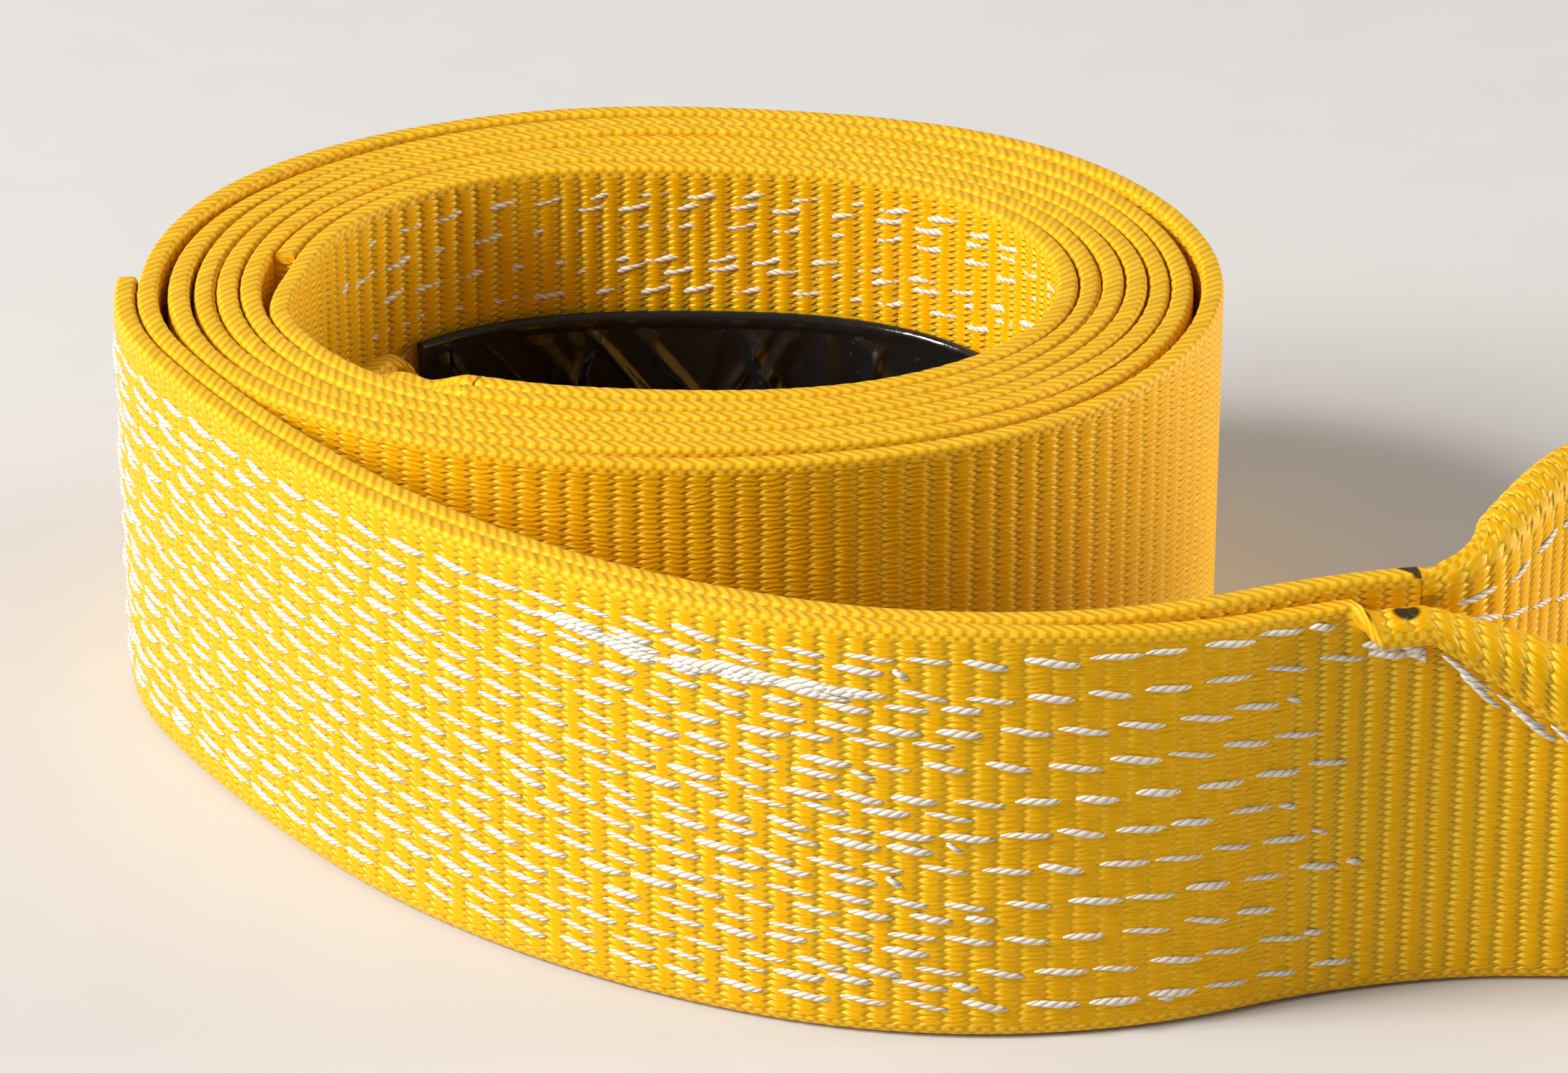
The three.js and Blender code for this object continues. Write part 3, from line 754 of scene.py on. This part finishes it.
class SewingSettings(bpy.types.PropertyGroup):
    stitch_pitch: length_property("Stitch length", "Distance from one stitch to the next", 0.0063)
    thread_width: length_property("Thread width", "Width of a stitch on the web", 0.00092)
    colour: colour_property("Thread colour", "Colour of the sewing thread", (0.86, 0.80, 0.70))
    # the twist colour is painted shade between the thread's strands
    groove_shade_colour: colour_property("Twist colour", "Colour between the thread's strands", (0.45, 0.39, 0.30))


class TagSettings(bpy.types.PropertyGroup):
    crease: length_property("Crease depth", "How far the tag's creases stand off the wall", 0.0016)
    colour: colour_property("Vinyl colour", "Colour of the tag", (0.006, 0.0065, 0.008))
    roughness: bpy.props.FloatProperty(
        name="Roughness", description="How dull the vinyl is", default=0.16, min=0, max=1, subtype="FACTOR"
    )


class StageSettings(bpy.types.PropertyGroup):
    floor_colour: colour_property("Floor colour", "Colour of the plain floor", (0.64, 0.637, 0.635))
    key_power: bpy.props.FloatProperty(
        name="Key light", description="Power of the warm light at the left", default=78.0, min=0, unit="POWER"
    )
    fill_strength: bpy.props.FloatProperty(
        name="Fill light", description="Strength of the light from all round", default=0.24, min=0
    )


def settings_of(context):
    return context.scene.web_sling_webbing, context.scene.web_sling_sewing


# centre and size along and across the cloth, and strength, of each mark of the pen at the outer throat
FAR_END = NEAR_START + SPLICE.length + OUTER_LOOP.length
INK_MARKS = (
    ((NEAR_START + SPLICE.length - 1.2, 47.2), (1.7, 0.9), 0.97),
    ((FAR_START + SPLICE.length - 1.2, 48.8), (0.55, 1.7), 0.95),
    ((FAR_START + SPLICE.length - 1.9, 50.0), (1.5, 0.6), 0.95),
    ((FAR_END - 0.6, 46.8), (1.6, 0.9), 0.5),
)


def sewn_flat(s):
    """How far the sewing has pulled the ribs flat: most where the rows run alone."""
    return (0.2 + 0.65 * smooth((s - 125) / 34)) * (1 - smooth((s - SPLICE.length + 17) / 9))


def cross_peel(piece):
    """Bakes the transform of a piece that crosses where the outer splice leaves the roll."""
    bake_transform(piece)


def cross_throat(piece):
    """Bakes the transform of a piece that crosses the outer throat."""
    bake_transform(piece)


def finish_thread(piece, *nodes):
    """Hides the frame's nodes that a piece of sewing stands for."""
    if nodes:
        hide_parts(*nodes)


def finish_web(piece, length, *nodes, held="laid", rests_on=()):
    """Hides the frame's nodes that a length of webbing stands for."""
    if nodes:
        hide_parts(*nodes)


# ================= operators =================
class WEBSLING_OT_coil(bpy.types.Operator):
    """Coils the web on its edge, with the inner splice's second ply"""

    bl_idname = "web_sling.coil"
    bl_label = "Coiled web"

    def execute(self, context):
        web, _ = settings_of(context)
        material = webbing_material(web)
        coil = web_piece("woven_coil", COIL, (0, COIL.length), web, material, first=-COIL.length, ragged=0.22,
                         hollow=WALL_RIBS, per_rib=4.2, spacing=6.0, pressed=lambda s: 0 * s + 0.5)
        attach(coil, "roll")
        finish_web(coil, COIL.length, "coiled_web")
        ply = spiral(INNER_THROAT_ANGLE, INNER_CUT_END_ANGLE, PLY_PITCH)
        sewn_back = web_piece("woven_inner_splice_ply", ply, (0, ply.length), web, material, ragged=0.15,
                              hollow=WALL_RIBS)
        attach(sewn_back, "roll")
        finish_web(sewn_back, ply.length, "inner_splice_return_ply", rests_on=["woven_coil"])
        return {"FINISHED"}


class WEBSLING_OT_outer_splice(bpy.types.Operator):
    """Lays the two plies of the outer splice round the front of the roll"""

    bl_idname = "web_sling.outer_splice"
    bl_label = "Outer splice"

    def execute(self, context):
        web, _ = settings_of(context)
        material = webbing_material(web)
        yarn = web.yarn_pitch * 1000
        body = web_piece(
            "woven_outer_splice_body", SPLICE.moved(PLY_PITCH / 2), (0, SPLICE.length), web, material,
            spacing=yarn / 2, first=FAR_START, ragged=0.1,
            sag=lambda s: THROAT_DROP * smooth((s - 135) / 40),
        )
        cross_peel(body)
        finish_web(body, SPLICE.length, "outer_splice_body_ply")
        face = SPLICE.moved(-PLY_PITCH / 2)

        def early_fold(s):
            start = smooth((s - face.length + EARLY_FOLD) / EARLY_CURL_LENGTH)
            return THROAT_FOLD_DEPTH * (0.25 + 0.75 * start), math.pi * start

        def edge_drop(s):
            before = s - face.length + EARLY_FOLD
            return 2.0 * smooth((before + 45) / 42) * (1 - smooth(before / EARLY_CURL_LENGTH))

        back = web_piece(
            "woven_outer_splice_face", face, (0, face.length), web, material, spacing=yarn / 2, per_rib=5,
            first=NEAR_START, stretch=SPLICE.length / face.length, fold=early_fold, pressed=sewn_flat,
            sag=edge_drop,
        )
        cross_peel(back)
        finish_web(back, face.length, "outer_splice_return_ply", rests_on=["woven_outer_splice_body"])
        return {"FINISHED"}


def fold_depth(distance):
    """How much of the web's width is turned over at a distance from the nearer throat."""
    taper = (FOLD_DEPTH - THROAT_FOLD_DEPTH) * distance / TAPER_LENGTH
    return np.minimum(FOLD_DEPTH, THROAT_FOLD_DEPTH + taper)


def outer_fold(s):
    """The near leg is already folded where the plies part; the far leg's fold closes from there."""
    end = OUTER_LOOP.length - s
    near = s < OUTER_LOOP.length / 2
    depth = np.where(near, fold_depth(s), np.minimum(FOLD_DEPTH, 0.04 * np.maximum(end, 0) ** 1.69))
    return depth, np.where(near, math.pi, math.pi * smooth(end / CURL_LENGTH))


def inner_fold(s):
    """The inner eye's fold starts where it leaves the wall."""
    end = np.minimum(s, INNER_LOOP.length - s)
    depth = fold_depth(end) * (0.03 + 0.97 * smooth((end - INNER_FOLD_START) / 14))
    return depth, math.pi * smooth((end - INNER_FOLD_START) / 5)


def inner_drop(s):
    """The inner eye's edge sinks below the roll's before its fold starts."""
    end = np.minimum(s, INNER_LOOP.length - s)
    return (4.5 * smooth(end / 12) + 7.5 * smooth((end - 13) / 18)) * (1 - smooth((end - 44) / 14))


def outer_lift(s):
    """How far the outer eye stands off the floor, most on its far leg."""
    t = s / OUTER_LOOP.length
    return FAR_LEG_LIFT * smooth((t - 0.3) / 0.45) * smooth((1 - t) / FAR_LEG_LIFT_SHARE)


def outer_drop(s):
    """How far the far leg's edge drops to meet its ply at the throat."""
    return THROAT_DROP * smooth(1 - (OUTER_LOOP.length - s) / 15)


class WEBSLING_OT_outer_eye(bpy.types.Operator):
    """Opens the outer eye: a loop of web folded in half lengthwise, tapering from its throat"""

    bl_idname = "web_sling.outer_eye"
    bl_label = "Outer eye"

    def execute(self, context):
        web, _ = settings_of(context)
        pitch = web.rib_pitch * 1000
        ribs = round(OUTER_LOOP.length / pitch)
        eye = web_piece(
            "woven_outer_eye", OUTER_LOOP, (0, OUTER_LOOP.length), web, webbing_material(web),
            spacing=web.yarn_pitch * 500, per_rib=4.4, lift=outer_lift, fold=outer_fold,
            first=NEAR_START + SPLICE.length, stretch=ribs * pitch / OUTER_LOOP.length, sag=outer_drop,
        )
        cross_throat(eye)
        finish_web(eye, OUTER_LOOP.length, "outer_eye_web", "outer_eye_folded_edge", held="folded")
        return {"FINISHED"}


class WEBSLING_OT_inner_eye(bpy.types.Operator):
    """Curls the inner eye up inside the roll, with its two necks as separate pieces at the throat"""

    bl_idname = "web_sling.inner_eye"
    bl_label = "Inner eye"

    def execute(self, context):
        web, _ = settings_of(context)
        material = webbing_material(web)
        neck, whole = NECK_LENGTH, INNER_LOOP.length
        tangent = INNER_LOOP.at(np.array([0.0]))[1][0]
        for name, span in (("hollow_side", (0, neck)), ("wall_side", (whole - neck, whole))):
            piece = web_piece(
                "woven_inner_eye_neck_" + name, INNER_LOOP, span, web, material, fold=inner_fold,
                first=span[0], sag=inner_drop, radius=PLY_PITCH / 2,
            )
            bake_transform(piece)
            finish_web(piece, neck, held="folded")
        eye = web_piece(
            "woven_inner_eye", INNER_LOOP, (neck, whole - neck), web, material, fold=inner_fold,
            first=neck, spacing=2.0, sag=inner_drop, radius=PLY_PITCH / 2,
        )
        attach(eye, "inner_eye")
        finish_web(eye, whole - 2 * neck, "inner_eye_web", "inner_eye_folded_edge", held="folded")
        return {"FINISHED"}


def row_height(i):
    """Height of a row of lock stitches, counted from the floor."""
    return STITCH_EDGE_DISTANCE + i * (WEB_WIDTH - 2 * STITCH_EDGE_DISTANCE) / (STITCH_ROWS - 1)


TUFT_PLACE = (159.6, 3.4)  # distance and height of the tuft on the outer splice
HEM_INSET = 1.2  # of an eye's seam from the folded edge's free side
OUTER_SEAM_STARTS = (0.2, 16.0)  # how far from the throat the seam starts on the near and far legs
INNER_SEAM = (50.0, 70.0)  # where the inner eye's seams start and stop, from its throat
RETURN_ROWS_END = 138.0  # how far along the outer splice the closer rows run
# where the thread is fastened off on the outer splice: distance, height and slant of each cluster
TACK = ((97.0, 43.5, -0.5), (103.5, 43.0, -0.7), (110.5, 42.6, 0.3), (117.5, 42.6, -0.4), (124.0, 41.8, -1.2))
# the thick stitches at the outer throat: distance back from it, height and slant
THROAT_TACK = ((8.0, 43.0, -0.5), (7.2, 41.9, -0.4), (4.2, 42.3, -1.3), (3.2, 41.2, -1.3))


class WEBSLING_OT_splice_sewing(bpy.types.Operator):
    """Sews the rows of lock stitches through both splices"""

    bl_idname = "web_sling.splice_sewing"
    bl_label = "Splice sewing"

    def execute(self, context):
        _, sewing = settings_of(context)
        material = thread_material(sewing)
        outer = on_face(SPLICE, PLY_PITCH / 2 + WEB_FACE)
        inner_route = spiral(INNER_THROAT_ANGLE, INNER_CUT_END_ANGLE)
        inner = on_face(inner_route, -WEB_FACE + THREAD_SINK)
        for i in range(STITCH_ROWS):
            rng = np.random.default_rng(100 + i)
            inset = ROW_END_INSET + ROW_STAGGER * (i % 3)
            row = row_dashes(rng, inset * 0.6, SPLICE.length - inset, row_height(i), sewing)
            piece = thread_piece(f"outer_splice_row_{i + 1:02d}", row, outer, sewing, material)
            cross_peel(piece)
            finish_thread(piece, f"outer_splice_stitch_row_{i + 1:02d}")
            row = row_dashes(rng, inset, inner_route.length - inset, row_height(i), sewing)
            piece = thread_piece(f"inner_splice_row_{i + 1:02d}", row, inner, sewing, material)
            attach(piece, "roll")
            finish_thread(piece, f"inner_splice_stitch_row_{i + 1:02d}")
        return {"FINISHED"}


class WEBSLING_OT_return_rows(bpy.types.Operator):
    """Sews the closer rows between the lock stitches, away from the throats"""

    bl_idname = "web_sling.return_rows"
    bl_label = "Return rows"

    def execute(self, context):
        _, sewing = settings_of(context)
        material = thread_material(sewing)
        outer = on_face(SPLICE, PLY_PITCH / 2 + WEB_FACE)
        inner_route = spiral(INNER_THROAT_ANGLE, INNER_CUT_END_ANGLE)
        inner = on_face(inner_route, -WEB_FACE + THREAD_SINK)
        rows, inner_rows = [], []
        for i in range(STITCH_ROWS - 1):
            rng = np.random.default_rng(300 + i)
            height = row_height(i) + RETURN_ROW_RISE
            end = RETURN_ROWS_END + rng.uniform(-9, 9)
            rows += row_dashes(rng, 3.0 + rng.uniform(0, 3), end, height - 0.6, sewing, drift=1.2)
            if i % 2:
                inner_rows += row_dashes(rng, 12, inner_route.length - 42, height, sewing, drift=0.8)
        rng = np.random.default_rng(77)
        for middle, height, slant in TACK:
            for _ in range(4):
                start = middle - 5.5 + rng.uniform(-2, 2)
                length, z = rng.uniform(8, 11), height + rng.uniform(-0.55, 0.55)
                rows.append((start, length, z, slant, rng.uniform(0.8, 1.3)))
        for back, height, slant in THROAT_TACK:
            rows.append((SPLICE.length - back, 6.2, height, slant, 1.35))
        piece = thread_piece("outer_splice_return_rows", rows, outer, sewing, material)
        cross_peel(piece)
        finish_thread(piece)
        piece = thread_piece("inner_splice_return_rows", inner_rows, inner, sewing, material)
        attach(piece, "roll")
        finish_thread(piece)
        return {"FINISHED"}


def along_hem(loop, lift, fold, radius):
    """Places thread on an eye's folded edge: heights are measured from just above the edge's free side."""

    def place(s, z, n):
        hem = lift(s) + WEB_WIDTH - 2 * fold(s)[0] + HEM_INSET
        return beside(*loop.at(s), 2 * radius + WEB_FACE * 0.6 + n, hem + z)

    return place


class WEBSLING_OT_loose_ends(bpy.types.Operator):
    """Frays the cut end of the outer splice and leaves a tuft of thread near its lower edge"""

    bl_idname = "web_sling.loose_ends"
    bl_label = "Loose ends"

    def execute(self, context):
        _, sewing = settings_of(context)
        material = thread_material(sewing)
        rng = np.random.default_rng(61)
        across = PLY_PITCH / 2 + WEB_FACE
        frays = []
        for _ in range(22):
            height = rng.uniform(41, 49.4) if rng.random() < 0.7 else rng.uniform(6, 41)
            reach = rng.uniform(1.2, 3.4)
            frays.append((-reach + 0.5, reach, height, rng.uniform(-1.4, 1.4), rng.uniform(0.14, 0.24)))

        def place(s, z, n):
            point, left = SPLICE.at(np.maximum(s, 0))
            ahead = np.stack([left[..., 1], -left[..., 0]], -1)
            side = across - 0.5 + n + 0.35 * np.maximum(-s, 0)
            point = point - left * side[..., None] + ahead * np.minimum(s, 0)[..., None]
            return to_frame(point[..., 0], point[..., 1], z)

        piece = thread_piece("outer_splice_frayed_end", frays, place, sewing, material)
        cross_peel(piece)
        finish_thread(piece)
        tuft = []
        for _ in range(9):
            start, length = TUFT_PLACE[0] + rng.uniform(0, 0.5), rng.uniform(1.4, 2.4)
            height = TUFT_PLACE[1] + rng.uniform(-0.3, 0.3)
            tuft.append((start, length, height, rng.uniform(-0.8, 1.0), rng.uniform(0.35, 0.6)))
        piece = thread_piece("lint_tuft", tuft, on_face(SPLICE, across + 0.15), sewing, material)
        cross_peel(piece)
        finish_thread(piece)
        return {"FINISHED"}


class WEBSLING_OT_eye_sewing(bpy.types.Operator):
    """Sews the folded edge down on each leg of both eyes"""

    bl_idname = "web_sling.eye_sewing"
    bl_label = "Eye sewing"

    def execute(self, context):
        _, sewing = settings_of(context)
        material = thread_material(sewing)
        outer, inner = OUTER_LOOP.length, INNER_LOOP.length
        outer_hem = along_hem(OUTER_LOOP, outer_lift, outer_fold, FOLD_RADIUS)
        inner_hem = along_hem(INNER_LOOP, lambda s: 0 * s, inner_fold, PLY_PITCH / 2)
        near, far, inner_end = OUTER_SEAM_STARTS[0], outer - OUTER_SEAM_STARTS[1], inner - INNER_SEAM[1]
        seams = (
            ("outer_eye", "near_leg", outer_hem, near, TAPER_SEAM_LENGTH, 501),
            ("outer_eye", "far_leg", outer_hem, outer - TAPER_SEAM_LENGTH, far, 500),
            ("inner_eye", "hollow_side_leg", inner_hem, *INNER_SEAM, 511),
            ("inner_eye", "wall_side_leg", inner_hem, inner_end, inner - INNER_SEAM[0], 510),
        )
        for prefix, leg, hem, start, stop, seed in seams:
            rng = np.random.default_rng(seed)
            dashes = row_dashes(rng, start, stop, 0.0, sewing, thick=1.15)
            dashes += row_dashes(rng, start + 2.4, stop, -0.9, sewing, thick=1.05)
            piece = thread_piece(f"{prefix}_{leg}_seam", dashes, hem, sewing, material)
            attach(piece, prefix)
            finish_thread(piece, f"{prefix}_{leg}_taper_stitch")
        rng = np.random.default_rng(540)
        dashes = []
        for slope in (0.10, -0.28):
            row = row_dashes(rng, outer - 48, outer - 2.5, 0, sewing)
            for start, length, height, _, thick in row:
                reach = outer - start - length / 2
                dashes.append((start, length, 45.0 + height + slope * reach, -slope * length, thick))
        inside = on_face(OUTER_LOOP, -WEB_FACE)
        piece = thread_piece("outer_eye_far_leg_inner_rows", dashes, inside, sewing, material)
        cross_throat(piece)
        finish_thread(piece)
        return {"FINISHED"}


class WEBSLING_OT_tag(bpy.types.Operator):
    """Lays the creased vinyl tag round the inside of the roll and sews it at one end"""

    bl_idname = "web_sling.tag"
    bl_label = "Identification tag"

    def execute(self, context):
        tag, sewing = context.scene.web_sling_tag, context.scene.web_sling_sewing
        offset = -(WEB_FACE + PLY_GAP + THREAD_HEIGHT + TAG_WALL_GAP + TAG_THICKNESS / 2)
        route = spiral(TAG_START_ANGLE, TAG_END_ANGLE, offset)
        s = np.linspace(0, route.length, 300)
        rounding = np.array([0, 0.15, 0.4])
        v = np.concatenate([rounding, np.linspace(0.8, TAG_HEIGHT - 0.8, 80), TAG_HEIGHT - rounding[::-1]])
        point, left = route.at(s)
        t, h = s[:, None] / route.length, v[None] / TAG_HEIGHT
        crease = np.zeros((len(s), len(v)))
        rng = np.random.default_rng(21)
        for _ in range(26):
            middle, slope, width = rng.uniform(0.05, 0.98), rng.uniform(-0.35, 0.35), rng.uniform(0.008, 0.03)
            fan = np.abs(t - middle - slope * (1 - h)) / width
            crease += rng.uniform(0.25, 1.0) * np.maximum(0, 1 - fan) * smooth(1.3 - h)
        crease = np.minimum(crease, 1.6) * tag.crease * 1000 * smooth(t / 0.12) * smooth((1 - h) / 0.12)
        edge = np.minimum(v, TAG_HEIGHT - v)
        half = TAG_THICKNESS / 2 * np.sqrt(np.clip(1 - (1 - np.clip(edge / 0.4, 0, 1)) ** 2, 0.08, 1))
        rim = 0.28 * smooth((v - TAG_HEIGHT + 1.9) / 0.35) * smooth((TAG_HEIGHT - v) / 0.4)
        grids = []
        for side in (1, -1):
            n = crease + side * (half + rim)[None]
            height = np.broadcast_to(TAG_FLOOR_GAP + v[None], n.shape)
            grids.append(beside(point[:, None], left[:, None], -n, height))
        uv = np.stack(np.broadcast_arrays(s[:, None] / 1000, v[None] / 1000), -1)
        piece = sheet_piece("vinyl_tag", grids[0], grids[1], uv, uv, vinyl_material(tag))
        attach(piece, "id_tag")
        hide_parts("id_tag")
        rng = np.random.default_rng(22)
        face = on_face(route, -TAG_THICKNESS / 2)
        dashes = []
        for across in (3.4, 3.4 + 1.4):
            for height in np.arange(2, TAG_HEIGHT - 4, 5.4):
                dashes.append((height, 4.2, across, rng.uniform(-0.6, 0.6), 0.9))

        def upright(height, distance, n):
            return face(distance, height, n)

        seam = thread_piece("tag_seam", dashes, upright, sewing, thread_material(sewing))
        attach(seam, "id_tag")
        finish_thread(seam, "id_tag_seam_stitch")
        return {"FINISHED"}


CAMERA_PLACE = (-0.0381, -0.6722, 0.3687)
CAMERA_PITCH = 62.95
CAMERA_LENS = 147.8


class WEBSLING_OT_stage(bpy.types.Operator):
    """Sets the pale floor, the soft lights and the camera"""

    bl_idname = "web_sling.stage"
    bl_label = "Stage, lights and camera"

    def execute(self, context):
        stage = context.scene.web_sling_stage
        bpy.ops.object.select_all(action="DESELECT")
        bpy.ops.mesh.primitive_plane_add(size=6, location=(0, 0, -0.0004))
        floor = context.object
        floor.name = "floor"
        material, t, shader = new_material("Floor")
        place = t.node("ShaderNodeTexCoord").outputs["Object"]
        grain = t.ramp(t.noise(place, 60.0, 3.0), 0.3, 0.7, 0.985, 1.0)
        tint = t.node("ShaderNodeHueSaturation", Value=grain, Color=opaque(stage.floor_colour))
        t.feed(shader.inputs["Base Color"], tint.outputs[0])
        shader.inputs["Roughness"].default_value = 0.85
        floor.data.materials.append(material)
        lights = (
            ("left_key", (-1.7, -0.4, 1.4), 0.42, stage.key_power * 0.52, (1.0, 0.965, 0.92)),
            ("front_left_key", (-1.75, -0.75, 1.0), 0.6, stage.key_power * 0.4, (1.0, 0.97, 0.93)),
            ("right_fill", (1.5, 0.2, 0.3), 0.6, stage.key_power * 0.3, (1.0, 0.95, 0.87)),
        )
        for name, place, size, power, colour in lights:
            light = bpy.data.lights.new(name, "AREA")
            light.size, light.energy, light.color = size, power, colour
            lamp = bpy.data.objects.new(name, light)
            context.scene.collection.objects.link(lamp)
            lamp.location = place
            aim = Vector((-0.02, 0.0, 0.02)) - lamp.location
            lamp.rotation_euler = aim.to_track_quat("-Z", "Y").to_euler()
        world = bpy.data.worlds.new("Soft sky")
        world.use_nodes = True
        background = world.node_tree.nodes["Background"]
        background.inputs["Color"].default_value = (0.98, 0.99, 1.0, 1)
        background.inputs["Strength"].default_value = stage.fill_strength
        context.scene.world = world
        camera = bpy.data.objects.new("camera", bpy.data.cameras.new("camera"))
        context.scene.collection.objects.link(camera)
        camera.location = CAMERA_PLACE
        camera.rotation_euler = (math.radians(CAMERA_PITCH), 0, 0)
        camera.data.lens, camera.data.sensor_width = CAMERA_LENS, 36.0
        camera.data.clip_start = 0.01
        context.scene.camera = camera
        context.scene.view_settings.view_transform = "Standard"
        return {"FINISHED"}


class WEBSLING_PT_panel(bpy.types.Panel):
    """Lists the steps that build the sling"""

    bl_idname = "WEBSLING_PT_panel"
    bl_label = "Web sling"
    bl_space_type = "VIEW_3D"
    bl_region_type = "UI"
    bl_category = "Web sling"

    def draw(self, context):
        for operator in OPERATORS:
            self.layout.operator(operator.bl_idname)


SETTINGS = (
    ("web_sling_webbing", WebbingSettings),
    ("web_sling_sewing", SewingSettings),
    ("web_sling_tag", TagSettings),
    ("web_sling_stage", StageSettings),
)
OPERATORS = (
    WEBSLING_OT_stage,
    WEBSLING_OT_coil,
    WEBSLING_OT_outer_splice,
    WEBSLING_OT_outer_eye,
    WEBSLING_OT_inner_eye,
    WEBSLING_OT_splice_sewing,
    WEBSLING_OT_return_rows,
    WEBSLING_OT_loose_ends,
    WEBSLING_OT_eye_sewing,
    WEBSLING_OT_tag,
)


def register():
    for name, group in SETTINGS:
        bpy.utils.register_class(group)
        setattr(bpy.types.Scene, name, bpy.props.PointerProperty(type=group))
    for cls in (*OPERATORS, WEBSLING_PT_panel):
        bpy.utils.register_class(cls)


def unregister():
    for cls in reversed((*OPERATORS, WEBSLING_PT_panel)):
        bpy.utils.unregister_class(cls)
    for name, group in reversed(SETTINGS):
        delattr(bpy.types.Scene, name)
        bpy.utils.unregister_class(group)


def main():
    """Builds the sling."""

    register()
    for operator in OPERATORS:
        getattr(bpy.ops.web_sling, operator.bl_idname.split(".")[1])()


if __name__ == "__main__":
    main()
